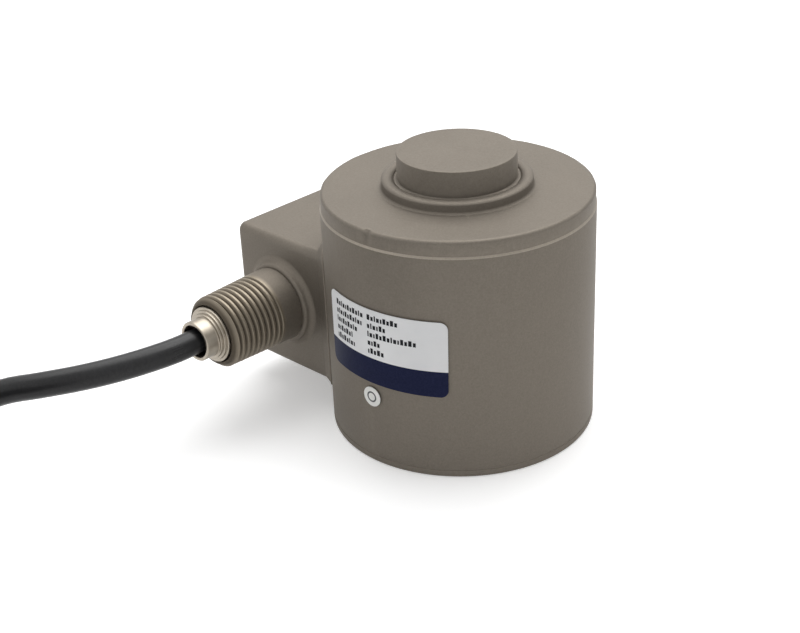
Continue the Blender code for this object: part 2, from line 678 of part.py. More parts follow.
def feedthrough():
    """A steel shell through the tube's wall, with a glass seal that holds four pins."""
    axis = Vector((0, 0, OUTLET_Z))
    inner = TUBE_BORE - SEAT_GAP
    seal = FEEDTHROUGH_RADIUS - FEEDTHROUGH_WALL
    seat = CAN_RADIUS + SEAT_GAP
    shell = [
        (seal, FLANGE_FACE), (FEEDTHROUGH_FLANGE, FLANGE_FACE), (FEEDTHROUGH_FLANGE, seat),
        (FEEDTHROUGH_RADIUS, seat), (FEEDTHROUGH_RADIUS, inner), (seal, inner),
    ]
    turned("feedthrough_shell", shell, FITTING_STEPS, "turned_steel", axis, SIDE_TURN)
    glass_radius = seal - SEAT_GAP
    glass = cylinder_mesh("feedthrough_glass", glass_radius, FLANGE_FACE - inner, FITTING_STEPS)
    middle = -(FLANGE_FACE + inner) / 2
    glass = add_part("feedthrough_glass", glass, "glass_seal", (middle, 0, OUTLET_Z), SIDE_TURN)
    terminal = terminal_board()
    pin_start = TUBE_BORE - PIN_INNER_REACH
    pin_end = TERMINAL_FACE + 2 * PIN_RADIUS
    pin_middle = -(pin_start + pin_end) / 2
    bore = PIN_RADIUS + SEAT_GAP
    for index, (across, up) in enumerate(((-1, -1), (1, -1), (-1, 1), (1, 1))):
        place = (pin_middle, across * PIN_SPREAD, OUTLET_Z + up * PIN_SPREAD)
        in_glass = (middle, *place[1:])
        in_board = (-TERMINAL_FACE, *place[1:])
        number = index + 1
        bored_hole(glass, f"glass_hole_{number}", bore, 4 * CAN_WALL, in_glass, SIDE_TURN, PIN_STEPS)
        reach = 4 * BOARD_THICKNESS
        bored_hole(terminal, f"pin_hole_{number}", bore, reach, in_board, SIDE_TURN, PIN_STEPS)
        pin = cylinder_mesh("pin", PIN_RADIUS, pin_end - pin_start, PIN_STEPS)
        add_part(f"feedthrough_pin_{index + 1}", pin, "gold_pin", place, SIDE_TURN)


def terminal_board():
    """The board in the housing, carried on the feedthrough's pins."""
    middle = (-(TERMINAL_FACE - BOARD_THICKNESS / 2), 0, OUTLET_Z)
    size = (BOARD_THICKNESS, TERMINAL_WIDTH, TERMINAL_HEIGHT)
    return add_part("terminal_board", box_mesh("terminal_board", size), "board", middle)


def bridge_wires():
    """Wires from the bridge board up to the inner ends of the feedthrough's pins."""
    landing = BOARD_TOP + SEAT_GAP
    end = TUBE_BORE - PIN_INNER_REACH - SEAT_GAP
    looks = ("wire_red", "wire_black", "wire_green", "wire_white")
    for index, (across, up) in enumerate(((-1, -1), (1, -1), (-1, 1), (1, 1))):
        foot = BOARD_RADIUS - BRIDGE_WIRE_INSET
        spread = PIN_SPREAD
        if up > 0:
            foot -= BRIDGE_WIRE_ROW
            spread *= 2
        height = OUTLET_Z + up * PIN_SPREAD
        side = across * spread
        pin_side = across * PIN_SPREAD
        route = [
            Vector((-foot, side, landing)),
            Vector((-foot, side, landing + BRIDGE_WIRE_RISE)),
            Vector((-foot, side, (landing + height) / 2)),
            Vector((-foot - BRIDGE_WIRE_BEND / 2, side, height - BRIDGE_WIRE_BEND)),
            Vector((-end + 0.75 * BRIDGE_WIRE_BEND, pin_side, height)),
            Vector((-end, pin_side, height)),
        ]
        path = smooth_path(route, BRIDGE_WIRE_SPACING)
        wire(f"bridge_wire_{index + 1}", path, WIRE_RADIUS, looks[index])


def cable_conductors():
    """The cable's four conductors, from its stripped end to the terminal board."""
    start = CABLE_START.y + SEAT_GAP
    wall = HOUSING_WALL - HOUSING_HALF_WIDTH
    landing = -TERMINAL_FACE - SEAT_GAP
    outer = TERMINAL_HEIGHT / 2 - CONDUCTOR_INSET
    rises = (-outer, outer, -outer / 3, outer / 3)
    looks = ("wire_red", "wire_black", "wire_green", "wire_white")
    for index, (across, up) in enumerate(((-1, -1), (-1, 1), (1, -1), (1, 1))):
        run_x = OUTLET_X + across * CONDUCTOR_SPREAD
        run_z = OUTLET_Z + up * CONDUCTOR_SPREAD
        end_z = OUTLET_Z + rises[index]
        route = [
            Vector((run_x, start, run_z)),
            Vector((run_x, (start + wall) / 2, run_z)),
            Vector((run_x, wall, run_z)),
            Vector((run_x, CONDUCTOR_ROW - CONDUCTOR_FAN, (2 * run_z + end_z) / 3)),
            Vector((run_x, CONDUCTOR_ROW - CONDUCTOR_TURN, (run_z + 4 * end_z) / 5)),
            Vector((landing - CONDUCTOR_TIP, CONDUCTOR_ROW, end_z)),
            Vector((landing, CONDUCTOR_ROW, end_z)),
        ]
        path = smooth_path(route, CONDUCTOR_SPACING)
        wire(f"cable_conductor_{index + 1}", path, CONDUCTOR_RADIUS, looks[index])


# Terminal housing

def terminal_housing():
    """A five-sided box, open to the canister, whose rim flares into a fillet weld. Its
    skin is one loft: rounded outer end, sides, weld, then back down the cavity."""
    def outline(grow, corner):
        half_width = HOUSING_HALF_WIDTH + grow
        half_height = HOUSING_HEIGHT / 2 + grow
        shape = rounded_rectangle(half_width, half_height, corner, CORNER_STEPS, SIDE_SPANS)
        return [(across, HOUSING_MIDDLE + up) for across, up in shape]

    def flat_loop(x, shape):
        return [Vector((x, across, up)) for across, up in shape]

    def round_loop(radius, shape):
        return [Vector((-math.sqrt(radius ** 2 - across ** 2), across, up)) for across, up in shape]

    loops = []
    for i in range(EDGE_STEPS):
        angle = math.pi / 2 * i / EDGE_STEPS
        inset = HOUSING_EDGE * (1 - math.sin(angle))
        x = -HOUSING_REACH + HOUSING_EDGE * (1 - math.cos(angle))
        loops.append(flat_loop(x, outline(-inset, HOUSING_EDGE - inset / 2)))
    sides = outline(0, HOUSING_EDGE)
    seat = CAN_RADIUS + SEAT_GAP
    loops.append(flat_loop(-HOUSING_REACH + HOUSING_EDGE, sides))
    loops.append(round_loop(CAN_RADIUS + WELD_LEG, sides))
    loops.append(round_loop(seat, outline(WELD_LEG, HOUSING_EDGE + WELD_LEG)))
    cavity = outline(-HOUSING_WALL, HOUSING_EDGE / 2)
    loops.append(round_loop(seat, cavity))
    loops.append(flat_loop(HOUSING_WALL - HOUSING_REACH, cavity))
    mesh = mesh_from("terminal_housing", lambda bm: loft(bm, loops))
    housing = add_part("terminal_housing", mesh, "blasted_steel")
    middle = OUTLET_FACE + Vector((0, HOUSING_WALL / 2, 0))
    bore = SPIGOT_RADIUS + SEAT_GAP
    reach = 3 * HOUSING_WALL
    bored_hole(housing, "outlet_hole", bore, reach, middle, OUTLET_TURN, THREAD_STEPS)


# Cable outlet

def conduit_adaptor():
    """The threaded outlet. Its skin runs from the bore's inner end out over the spigot,
    collar and neck, up a true tapered helix, and back down the bore. Heights are from
    the housing's face, along -Y."""
    steps = THREAD_STEPS
    turns = math.floor((ADAPTOR_LENGTH - THREAD_START) / THREAD_PITCH) - 1

    def crest_radius(height):
        tapered = THREAD_RADIUS - (height - THREAD_START) * math.tan(THREAD_TAPER)
        chamfer = END_RADIUS + ADAPTOR_LENGTH - height
        return min(tapered, chamfer)

    def root_radius(height, turn):
        depth = THREAD_FAINTEST + (THREAD_DEPTH - THREAD_FAINTEST) * min(1, turn)
        tapered = THREAD_RADIUS - (height - THREAD_START) * math.tan(THREAD_TAPER) - depth
        return min(tapered, crest_radius(height) - THREAD_FAINTEST)

    def build(bm):
        def plain_ring(radius, height):
            angles = [2 * math.pi * i / steps for i in range(steps)]
            return [bm.verts.new(round_z(radius, angle, height)) for angle in angles]

        def join(lower, upper):
            for i in range(steps):
                j = (i + 1) % steps
                bm.faces.new((lower[i], lower[j], upper[j], upper[i]))

        inner_end = SEAT_GAP - HOUSING_WALL
        collar_top = SEAT_GAP + COLLAR_LENGTH
        collar_middle = (COLLAR_RADIUS + THREAD_RADIUS) / 2 - COLLAR_SAG
        rings = [
            plain_ring(OUTLET_BORE, inner_end),
            plain_ring(SPIGOT_RADIUS, inner_end),
            plain_ring(SPIGOT_RADIUS, SEAT_GAP),
            plain_ring(COLLAR_RADIUS, SEAT_GAP),
            plain_ring(collar_middle, (SEAT_GAP + collar_top) / 2 - COLLAR_SAG),
            plain_ring(THREAD_RADIUS, collar_top),
            plain_ring(THREAD_RADIUS, THREAD_START - THREAD_PITCH / 4),
        ]
        for lower, upper in zip(rings, rings[1:]):
            join(lower, upper)

        columns = steps * turns
        roots = []
        crests = []
        for i in range(columns + steps + 1):
            angle = 2 * math.pi * i / steps
            height = THREAD_START + THREAD_PITCH * i / steps
            roots.append(bm.verts.new(round_z(root_radius(height, i / steps), angle, height)))
            if i <= columns:
                flat = [height + THREAD_PITCH * place for place in THREAD_CREST]
                crests.append([bm.verts.new(round_z(crest_radius(z), angle, z)) for z in flat])
        for i in range(columns):
            here = [roots[i], *crests[i], roots[i + steps]]
            ahead = [roots[i + 1], *crests[i + 1], roots[i + 1 + steps]]
            for k in range(3):
                bm.faces.new((here[k], ahead[k], ahead[k + 1], here[k + 1]))

        below = rings[-1]
        above = plain_ring(END_RADIUS, ADAPTOR_LENGTH)
        for i in range(steps):
            j = (i + 1) % steps
            bm.faces.new((below[i], below[j], roots[i + 1], roots[i]))
            bm.faces.new((roots[columns + i], roots[columns + i + 1], above[j], above[i]))
        bm.faces.new((below[0], roots[0], *crests[0], roots[steps]))
        bm.faces.new((above[0], roots[columns], *crests[columns], roots[columns + steps]))
        mouth = plain_ring(OUTLET_BORE, ADAPTOR_LENGTH)
        join(above, mouth)
        join(mouth, rings[0])

    mesh = mesh_from("conduit_adaptor", build)
    add_part("conduit_adaptor", mesh, "blasted_steel", OUTLET_FACE, OUTLET_TURN)


def gland():
    """Stepped body with a tube for the cable, its grommet, clamp ring and O-ring."""
    end = ADAPTOR_LENGTH
    mouth = end + GLAND_TUBE_REACH
    inner = end - GLAND_DEPTH
    step = GLAND_STEP_HEIGHT
    middle_step = GLAND_RADIUS - GLAND_STEP_WIDTH
    upper_step = GLAND_RADIUS - 2 * GLAND_STEP_WIDTH
    groove = GLAND_RADIUS - 2 * O_RING_RADIUS - SEAT_GAP
    groove_middle = inner + O_RING_PLACE
    groove_half = O_RING_RADIUS + SEAT_GAP
    pocket_top = end - GLAND_SHOULDER
    body = [
        (GLAND_TUBE_BORE, mouth - GLAND_EDGE),
        (GLAND_TUBE_BORE + GLAND_EDGE, mouth),
        (GLAND_TUBE_RADIUS - GLAND_EDGE, mouth),
        (GLAND_TUBE_RADIUS, mouth - GLAND_EDGE),
        (GLAND_TUBE_RADIUS, end + 3 * step),
        (upper_step, end + 3 * step),
        (upper_step, end + 2 * step),
        (middle_step, end + 2 * step),
        (middle_step, end + step),
        (GLAND_RADIUS, end + step),
        (GLAND_RADIUS, groove_middle + groove_half),
        (groove, groove_middle + groove_half),
        (groove, groove_middle - groove_half),
        (GLAND_RADIUS, groove_middle - groove_half),
        (GLAND_RADIUS, inner),
        (GLAND_POCKET, inner),
        (GLAND_POCKET, pocket_top),
        (GLAND_TUBE_BORE, pocket_top),
    ]
    turned("gland_body", body, FITTING_STEPS, "nickel", OUTLET_FACE, OUTLET_TURN)
    grommet = ring(GLAND_BORE, GLAND_POCKET - SEAT_GAP, inner, pocket_top - SEAT_GAP)
    turned("gland_grommet", grommet, SEAL_STEPS, "seal_rubber", OUTLET_FACE, OUTLET_TURN)
    clamp = ring(GLAND_BORE, GLAND_RADIUS, inner - SEAT_GAP - CLAMP_THICKNESS, inner - SEAT_GAP)
    turned("gland_clamp_ring", clamp, SEAL_STEPS, "turned_steel", OUTLET_FACE, OUTLET_TURN)
    centre = (groove + SEAT_GAP + O_RING_RADIUS, groove_middle)
    last_side = 90 - 360 * (O_RING_SIDES - 1) / O_RING_SIDES
    o_ring = arc(centre, O_RING_RADIUS, 90, last_side, O_RING_SIDES - 1)
    turned("gland_o_ring", o_ring, SEAL_STEPS, "seal_rubber", OUTLET_FACE, OUTLET_TURN)


# Label and dot on the canister

def rating_label():
    """A thin sheet that follows the tube."""
    inner = CAN_RADIUS + SEAT_GAP
    outer = inner + LABEL_THICKNESS
    loops = []
    for i in range(LABEL_STEPS + 1):
        angle = LABEL_FROM + (LABEL_TO - LABEL_FROM) * i / LABEL_STEPS
        section = ring(inner, outer, LABEL_BOTTOM, LABEL_TOP)
        loops.append([round_z(radius, angle, height) for radius, height in section])
    add_part("rating_label", mesh_from("rating_label", lambda bm: loft(bm, loops)), "label")


def inspection_dot():
    disc = cylinder_mesh("inspection_dot", DOT_RADIUS, LABEL_THICKNESS, DOT_STEPS)
    place = round_z(CAN_RADIUS + SEAT_GAP + LABEL_THICKNESS / 2, DOT_ANGLE, DOT_HEIGHT)
    add_part("inspection_dot", disc, "label", place, (0, math.radians(90), DOT_ANGLE))


# Cable and coil

def cable():
    """Straight through its gland, then in one smooth curve down to the coil."""
    route = [CABLE_START, (CABLE_START + CABLE_EXIT) / 2]
    route += [CABLE_EXIT + Vector(point) * MM for point in CABLE_ROUTE]
    wire("cable", smooth_path(route, CABLE_POINT_SPACING), CABLE_RADIUS, "jacket", 3)


def cable_coil():
    """The outer shape of the wound coil, a turned ring with rounded corners."""
    half_width = COIL_WIDTH / 2
    half_height = COIL_HEIGHT / 2
    section = rounded_rectangle(half_width, half_height, COIL_CORNER, 1)
    middle = COIL_BOTTOM + half_height
    profile = [(COIL_MEAN_RADIUS + across, middle + up) for across, up in section[::-1]]
    turned("cable_coil", profile, COIL_STEPS, "jacket", COIL_CENTRE)
    for index, angle in enumerate(TIE_ANGLES):
        cable_tie(index + 1, angle, middle)


def cable_tie(number, angle, middle):
    """A strap closed round the coil's section."""
    outlines = []
    for reach in (SEAT_GAP, SEAT_GAP + TIE_THICKNESS):
        half_width = COIL_WIDTH / 2 + reach
        half_height = COIL_HEIGHT / 2 + reach
        corner = COIL_CORNER + reach
        outlines.append(rounded_rectangle(half_width, half_height, corner, FILLET_STEPS))
    place = COIL_CENTRE + round_z(COIL_MEAN_RADIUS, angle, middle)
    plate(f"cable_tie_{number}", outlines, TIE_WIDTH, "tie", place, (math.radians(90), 0, angle))


def cable_tail():
    """The cable's last stretch, laid on the coil, and the stripped leads at its end."""
    height = COIL_TOP + SEAT_GAP + CABLE_RADIUS
    points = []
    for i in range(TAIL_STEPS + 1):
        angle = TAIL_FROM + (TAIL_TO - TAIL_FROM) * i / TAIL_STEPS
        points.append(COIL_CENTRE + round_z(TAIL_RADIUS, angle, height))
    wire("cable_tail", points, CABLE_RADIUS, "jacket", 3)
    looks = ("wire_red", "wire_black", "tinned", "wire_green", "wire_white")
    names = ("lead_red", "lead_black", "lead_shield", "lead_green", "lead_white")
    resting = COIL_TOP + SEAT_GAP + LEAD_RADIUS
    start = TAIL_TO + SEAT_GAP / TAIL_RADIUS
    fall_from, fall_to = LEAD_FALL
    for index, (name, look) in enumerate(zip(names, looks)):
        place = index - (len(names) - 1) / 2
        root = height + (LEAD_ROOT_RISE if index % 2 else -LEAD_ROOT_RISE)
        points = []
        for i in range(LEAD_STEPS + 1):
            share = i / LEAD_STEPS
            fall = min(1, max(0, (share - fall_from) / (fall_to - fall_from)))
            level = root + (resting - root) * fall * fall * (3 - 2 * fall)
            fan = place * (LEAD_ROOT_SPREAD + (LEAD_SPREAD - LEAD_ROOT_SPREAD) * share)
            angle = start + LEAD_SWEEP * share
            points.append(COIL_CENTRE + round_z(TAIL_RADIUS + fan, angle, level))
        wire(name, points, LEAD_RADIUS, look)


# Shading

def flatten_flat_faces():
    """Large flat faces keep their own normals, so the smooth shading of a turned piece
    doesn't roll over its corners."""
    for part in PARTS.objects:
        if part.type == "MESH" and part.modifiers:
            part.modifiers.new("Flat faces", "WEIGHTED_NORMAL")


canister_tube()
base_plate()
top_cover()
sensing_column()
strain_gauges()
gauge_leads()
bridge_board()
feedthrough()
bridge_wires()
cable_conductors()
terminal_housing()
conduit_adaptor()
gland()
rating_label()
inspection_dot()
cable()
cable_coil()
cable_tail()
flatten_flat_faces()
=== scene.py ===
# %% [markdown]
# # A column load cell, dressed for its photograph
#
# This load cell is a welded steel canister round a short steel column. A load presses on
# the round button on top, gauges on the column feel it, and a cable takes the signal out
# through a terminal housing on the canister's side.
#
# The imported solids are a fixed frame. Each piece that shows gets a finer skin here, in
# exactly the same place, and every piece gets a finish made of shader nodes. Lengths are
# in metres, +Z is up, and the origin is the centre of the canister's bottom face.

import math

import bmesh
import bpy
import numpy as np
from mathutils import Matrix, Vector, noise


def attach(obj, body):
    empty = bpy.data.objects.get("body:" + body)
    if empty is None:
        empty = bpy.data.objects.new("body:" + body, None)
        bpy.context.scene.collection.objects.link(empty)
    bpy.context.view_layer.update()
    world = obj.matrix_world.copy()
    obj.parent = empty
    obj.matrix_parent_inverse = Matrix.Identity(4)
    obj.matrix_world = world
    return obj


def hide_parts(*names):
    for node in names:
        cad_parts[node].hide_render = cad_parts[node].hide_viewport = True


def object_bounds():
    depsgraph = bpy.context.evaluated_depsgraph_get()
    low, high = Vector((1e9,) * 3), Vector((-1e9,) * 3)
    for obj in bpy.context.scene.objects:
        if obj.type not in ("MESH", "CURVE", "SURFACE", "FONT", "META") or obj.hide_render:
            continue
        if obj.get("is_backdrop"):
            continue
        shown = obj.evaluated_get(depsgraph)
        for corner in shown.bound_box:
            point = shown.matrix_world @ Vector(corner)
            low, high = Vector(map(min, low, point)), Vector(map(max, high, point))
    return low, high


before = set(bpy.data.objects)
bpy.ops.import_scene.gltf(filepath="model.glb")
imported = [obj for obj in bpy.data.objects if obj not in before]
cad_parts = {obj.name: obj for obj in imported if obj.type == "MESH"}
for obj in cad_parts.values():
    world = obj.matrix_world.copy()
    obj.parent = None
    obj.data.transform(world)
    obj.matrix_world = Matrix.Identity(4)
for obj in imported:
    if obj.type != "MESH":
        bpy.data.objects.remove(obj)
cad_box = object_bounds()
MM = 0.001
print("solids:", len(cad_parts), "box:", [round(x / MM, 1) for x in cad_box[1] - cad_box[0]])

# %% [markdown]
# ## The camera
#
# A photograph's perspective is fixed by where the lens stood and how long it was. Both
# were worked out from the canister's ellipses. The focal length comes out in pixels, and
# a camera wants it in millimetres on its sensor, so it's scaled by the picture's width.
# The photographer held the camera a little askew, which is the roll.

# %% The photograph's camera
PHOTO_WIDTH = 800
FOCAL_PIXELS = 1470.5
CAMERA_PLACE = Vector((0.246023, -0.267668, 0.218364))
CAMERA_TARGET = Vector((-0.011890, -0.012000, 0.029730))
CAMERA_ROLL = math.radians(-2.68)

camera_data = bpy.data.cameras.new("photo_camera")
camera_data.sensor_width = 36.0
camera_data.lens = camera_data.sensor_width * FOCAL_PIXELS / PHOTO_WIDTH
camera_data.clip_start = 0.01
camera = bpy.data.objects.new("photo_camera", camera_data)
bpy.context.scene.collection.objects.link(camera)
look = (CAMERA_TARGET - CAMERA_PLACE).to_track_quat("-Z", "Y").to_matrix().to_4x4()
camera.matrix_world = Matrix.Translation(CAMERA_PLACE) @ look @ Matrix.Rotation(CAMERA_ROLL, 4, "Z")
bpy.context.scene.camera = camera
print("lens:", round(camera_data.lens, 2), "mm")

# %% [markdown]
# ## Node helpers
#
# A shader tree is easier to read when each node takes one call: its kind, what feeds it
# and its settings. A feed is either a plain value or another node's output.

# %% Nodes in one call
def add_node(tree, kind, feeds=None, **settings):
    made = tree.nodes.new("ShaderNode" + kind)
    for name, value in settings.items():
        setattr(made, name, value)
    for socket, feed in (feeds or {}).items():
        if isinstance(feed, bpy.types.NodeSocket):
            tree.links.new(feed, made.inputs[socket])
        else:
            made.inputs[socket].default_value = feed
    return made


def sum_up(tree, operation, *feeds, clamp=False):
    """The output of one Math node."""
    made = add_node(tree, "Math", dict(enumerate(feeds)), operation=operation, use_clamp=clamp)
    return made.outputs[0]


def stretch(tree, value, low, high, new_low=0.0, new_high=1.0):
    """value moved from low..high to new_low..new_high and held there."""
    feeds = {"Value": value, "From Min": low, "From Max": high, "To Min": new_low, "To Max": new_high}
    return add_node(tree, "MapRange", feeds).outputs["Result"]


def blend_colours(tree, share, first, second):
    """First and second colour mixed by share."""
    return add_node(tree, "Mix", {0: share, 6: first, 7: second}, data_type="RGBA").outputs[2]

# %% [markdown]
# ## The studio
#
# The background is plain white, with only a soft grey shadow to the left of the
# canister. The floor is a large pale sheet. The world is white wherever the camera or a
# reflection looks at it, but it lights matt things less, so that the softboxes model the
# forms and the floor keeps its shadow.

# %% World
FILL_LIGHT = 0.43


def seen_directly(tree):
    """1 for rays from the camera, a reflection or a clear material, 0 for the rest."""
    rays = add_node(tree, "LightPath").outputs
    mirrored = sum_up(tree, "MAXIMUM", rays["Is Camera Ray"], rays["Is Glossy Ray"])
    return sum_up(tree, "MAXIMUM", mirrored, rays["Is Transmission Ray"])


world = bpy.data.worlds.new("studio_world")
world.use_nodes = True
sky = world.node_tree
sky.nodes["Background"].inputs["Color"].default_value = (1.0, 1.0, 1.0, 1.0)
sky_strength = stretch(sky, seen_directly(sky), 0.0, 1.0, FILL_LIGHT, 1.0)
sky.links.new(sky_strength, sky.nodes["Background"].inputs["Strength"])
bpy.context.scene.world = world
bpy.context.scene.view_settings.view_transform = "Standard"
print("fill light:", FILL_LIGHT)

# %% Floor
FLOOR_HALF = 3.0
FLOOR_GLOW = 0.325

floor_mesh = bpy.data.meshes.new("studio_floor")
corners = [(-FLOOR_HALF, -FLOOR_HALF, 0), (FLOOR_HALF, -FLOOR_HALF, 0),
           (FLOOR_HALF, FLOOR_HALF, 0), (-FLOOR_HALF, FLOOR_HALF, 0)]
floor_mesh.from_pydata(corners, [], [(0, 1, 2, 3)])
floor = bpy.data.objects.new("studio_floor", floor_mesh)
bpy.context.scene.collection.objects.link(floor)
floor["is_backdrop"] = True

paper = bpy.data.materials.new("pale_floor")
paper.use_nodes = True
paper_tree = paper.node_tree
paper_shader = paper_tree.nodes["Principled BSDF"]
paper_shader.inputs["Roughness"].default_value = 0.8
paper_shader.inputs["Specular IOR Level"].default_value = 0.2
paper_shader.inputs["Emission Strength"].default_value = 1.0
fibre = add_node(paper_tree, "TexNoise", {"Scale": 900.0, "Detail": 3.0})
paper_colour = blend_colours(paper_tree, fibre.outputs["Fac"], (0.86, 0.86, 0.86, 1), (0.9, 0.9, 0.9, 1))
paper_tree.links.new(paper_colour, paper_shader.inputs["Base Color"])
glow = sum_up(paper_tree, "MULTIPLY", seen_directly(paper_tree), FLOOR_GLOW)
glow_colour = add_node(paper_tree, "CombineColor", {"Red": glow, "Green": glow, "Blue": glow})
paper_tree.links.new(glow_colour.outputs["Color"], paper_shader.inputs["Emission Color"])
floor_mesh.materials.append(paper)
print("floor:", 2 * FLOOR_HALF, "m square")

# %% Softboxes
LAMP_AIM = Vector((0, 0, 35)) * MM       # the canister's middle


def softbox(name, azimuth, height, distance, across, up, watts):
    """A large soft lamp that looks at the canister's middle. Azimuth and height are its
    direction in degrees, from +X and from the floor."""
    lamp = bpy.data.lights.new(name, "AREA")
    lamp.shape = "RECTANGLE"
    lamp.size = across
    lamp.size_y = up
    lamp.energy = watts
    box = bpy.data.objects.new(name, lamp)
    turn = math.radians(azimuth)
    lift = math.radians(height)
    away = Vector((math.cos(turn) * math.cos(lift), math.sin(turn) * math.cos(lift), math.sin(lift)))
    box.location = LAMP_AIM + away * distance
    box.rotation_euler = (-away).to_track_quat("-Z", "Y").to_euler()
    box.visible_camera = False
    bpy.context.scene.collection.objects.link(box)
    radiance = watts / (math.pi * across * up)
    print(name, "radiance:", round(radiance, 2))


softbox("key_softbox", 64.0, 60.0, 1.3, 0.9, 0.9, 2.9)
softbox("overhead_softbox", 130.0, 68.0, 1.5, 1.5, 1.6, 22.0)
softbox("side_softbox", -116.0, 26.0, 1.3, 0.9, 0.9, 1.5)

# %% [markdown]
# ## The cable's route
#
# The cable leaves its gland straight, sags to the floor and runs out of the picture. A
# load cell of this kind is sold with about 6 m of it, so the rest is wound in a coil
# just outside the view. A smooth curve through a few points gives the sag. The turns lie
# side by side, and where one turn ends the next begins by easing a cable's width over.

# %% Route from the gland to the coil
CABLE_RADIUS = 3.5 * MM
CAN_RADIUS = 37.0 * MM
OUTLET_FACE = Vector((-45.4, -25.7, 29.4)) * MM
ADAPTOR_LENGTH = 26.5 * MM
GLAND_TUBE = 6.0 * MM                 # from the adaptor's end to the gland's
CABLE_EXIT = OUTLET_FACE - Vector((0, ADAPTOR_LENGTH + GLAND_TUBE, 0))
CABLE_START = CABLE_EXIT + Vector((0, 17.2, 0)) * MM
CABLE_ROUTE = (
    (0.0, 0.0, 0.0),
    (-0.3, -6.3, -0.05),
    (-1.6, -12.5, -0.2),
    (-3.8, -19.2, -0.5),
    (-7.0, -25.8, -1.0),
    (-11.2, -32.1, -1.7),
    (-17.0, -39.2, -2.6),
    (-24.0, -46.7, -4.0),
    (-30.6, -56.8, -7.4),
    (-35.5, -69.2, -12.6),
    (-38.4, -82.8, -18.4),
    (-39.5, -96.3, -22.4),
    (-39.4, -109.8, -24.2),
    (-39.1, -116.1, -24.4),
)


def smooth_path(route, spacing):
    """Points about a spacing apart on the smooth curve through a route's points."""
    ends = [2 * route[0] - route[1]] + list(route) + [2 * route[-1] - route[-2]]
    path = [route[0]]
    for before, here, ahead, after in zip(ends, ends[1:], ends[2:], ends[3:]):
        spans = max(1, round((ahead - here).length / spacing))
        for i in range(1, spans + 1):
            t = i / spans
            bend = (2 * before - 5 * here + 4 * ahead - after) * t * t
            swing = (3 * here - before - 3 * ahead + after) * t * t * t
            path.append(0.5 * (2 * here + (ahead - before) * t + bend + swing))
    return path


def path_length(path):
    return sum((b - a).length for a, b in zip(path, path[1:]))

# %% Turns of the coil
COIL_CENTRE = Vector((CABLE_EXIT.x + 12.4 * MM, CABLE_EXIT.y - 141.3 * MM, 0))
COIL_COLUMNS = 4
COIL_LAYERS = 6
COIL_MEAN_RADIUS = 39.5 * MM
COIL_BOTTOM = 1.4 * MM
COIL_TOP = COIL_BOTTOM + 2 * CABLE_RADIUS * COIL_LAYERS
COIL_START = math.radians(183)        # where the cable meets the outer bottom turn
TURN_STEPS = 40
FIRST_SHIFT = 0.70                    # turns from the start to the middle of the first shift
SHIFT_LONG = 0.45                     # turns that one shift takes
CORNER_LEAD = 0.135                   # turns by which a climb comes early, to keep clear
TAIL_LEAVES = math.radians(38)        # where the last turn leaves its place
TAIL_FROM = math.radians(140)
TAIL_TO = math.radians(210)
TAIL_RADIUS = COIL_MEAN_RADIUS + CABLE_RADIUS
TAIL_CLEARANCE = 0.3 * MM             # between the tail and the coil's top
CLIMB_STEPS = 24
TOP_STEPS = 10


def ease(value, start, end):
    """0 before start, 1 after end, and a gentle S between them."""
    share = min(1.0, max(0.0, (value - start) / (end - start)))
    return share * share * (3 - 2 * share)


def coil_point(radius, angle, height):
    return COIL_CENTRE + Vector((radius * math.cos(angle), radius * math.sin(angle), height))


def coil_seats():
    """Seats of the coil's section in winding order, as (radius, height)."""
    outer = COIL_MEAN_RADIUS + CABLE_RADIUS * (COIL_COLUMNS - 1)
    seats = []
    for layer in range(COIL_LAYERS):
        height = COIL_BOTTOM + CABLE_RADIUS * (2 * layer + 1)
        columns = range(COIL_COLUMNS) if layer % 2 == 0 else reversed(range(COIL_COLUMNS))
        seats += [(outer - 2 * CABLE_RADIUS * column, height) for column in columns]
    return seats


def coil_turns():
    """Points of every turn. Each shift leads from one seat to the next."""
    seats = coil_seats()
    shifts = [FIRST_SHIFT]
    for number in range(2, len(seats)):
        climbs = number % COIL_COLUMNS == 0
        climbed = (number - 1) % COIL_COLUMNS == 0
        shifts.append(shifts[-1] + 1 - (CORNER_LEAD if climbs or climbed else 0))
    last = math.floor(shifts[-1] + SHIFT_LONG / 2) + 1
    end = last + (TAIL_LEAVES - COIL_START) / (2 * math.pi)
    points = []
    for i in range(int(end * TURN_STEPS) + 1):
        turn = i / TURN_STEPS
        radius, height = seats[0]
        for middle, here, ahead in zip(shifts, seats, seats[1:]):
            share = ease(turn, middle - SHIFT_LONG / 2, middle + SHIFT_LONG / 2)
            radius += (ahead[0] - here[0]) * share
            height += (ahead[1] - here[1]) * share
        points.append(coil_point(radius, COIL_START + 2 * math.pi * turn, height))
    return points


def coil_tail():
    """From the last turn up and over its neighbour, then round on top of the coil."""
    seat = COIL_TOP - CABLE_RADIUS
    lift = 2 * CABLE_RADIUS + TAIL_CLEARANCE
    points = []
    for i in range(1, CLIMB_STEPS + 1):
        share = i / CLIMB_STEPS
        swing = math.pi / 2 * ease(share, 0.0, 1.0)
        radius = TAIL_RADIUS + 2 * CABLE_RADIUS * math.cos(swing)
        angle = TAIL_LEAVES + (TAIL_FROM - TAIL_LEAVES) * share
        points.append(coil_point(radius, angle, seat + lift * math.sin(swing)))
    for i in range(1, TOP_STEPS + 1):
        angle = TAIL_FROM + (TAIL_TO - TAIL_FROM) * i / TOP_STEPS
        points.append(coil_point(TAIL_RADIUS, angle, seat + lift))
    return points


route = [CABLE_START, (CABLE_START + CABLE_EXIT) / 2]
route += [CABLE_EXIT + Vector(point) * MM for point in CABLE_ROUTE]
turns_path = coil_turns()
cable_path = smooth_path(route + turns_path[:3], 2.5 * MM) + turns_path[3:] + coil_tail()
print("cable path:", len(cable_path), "points,", round(path_length(cable_path), 3), "m")

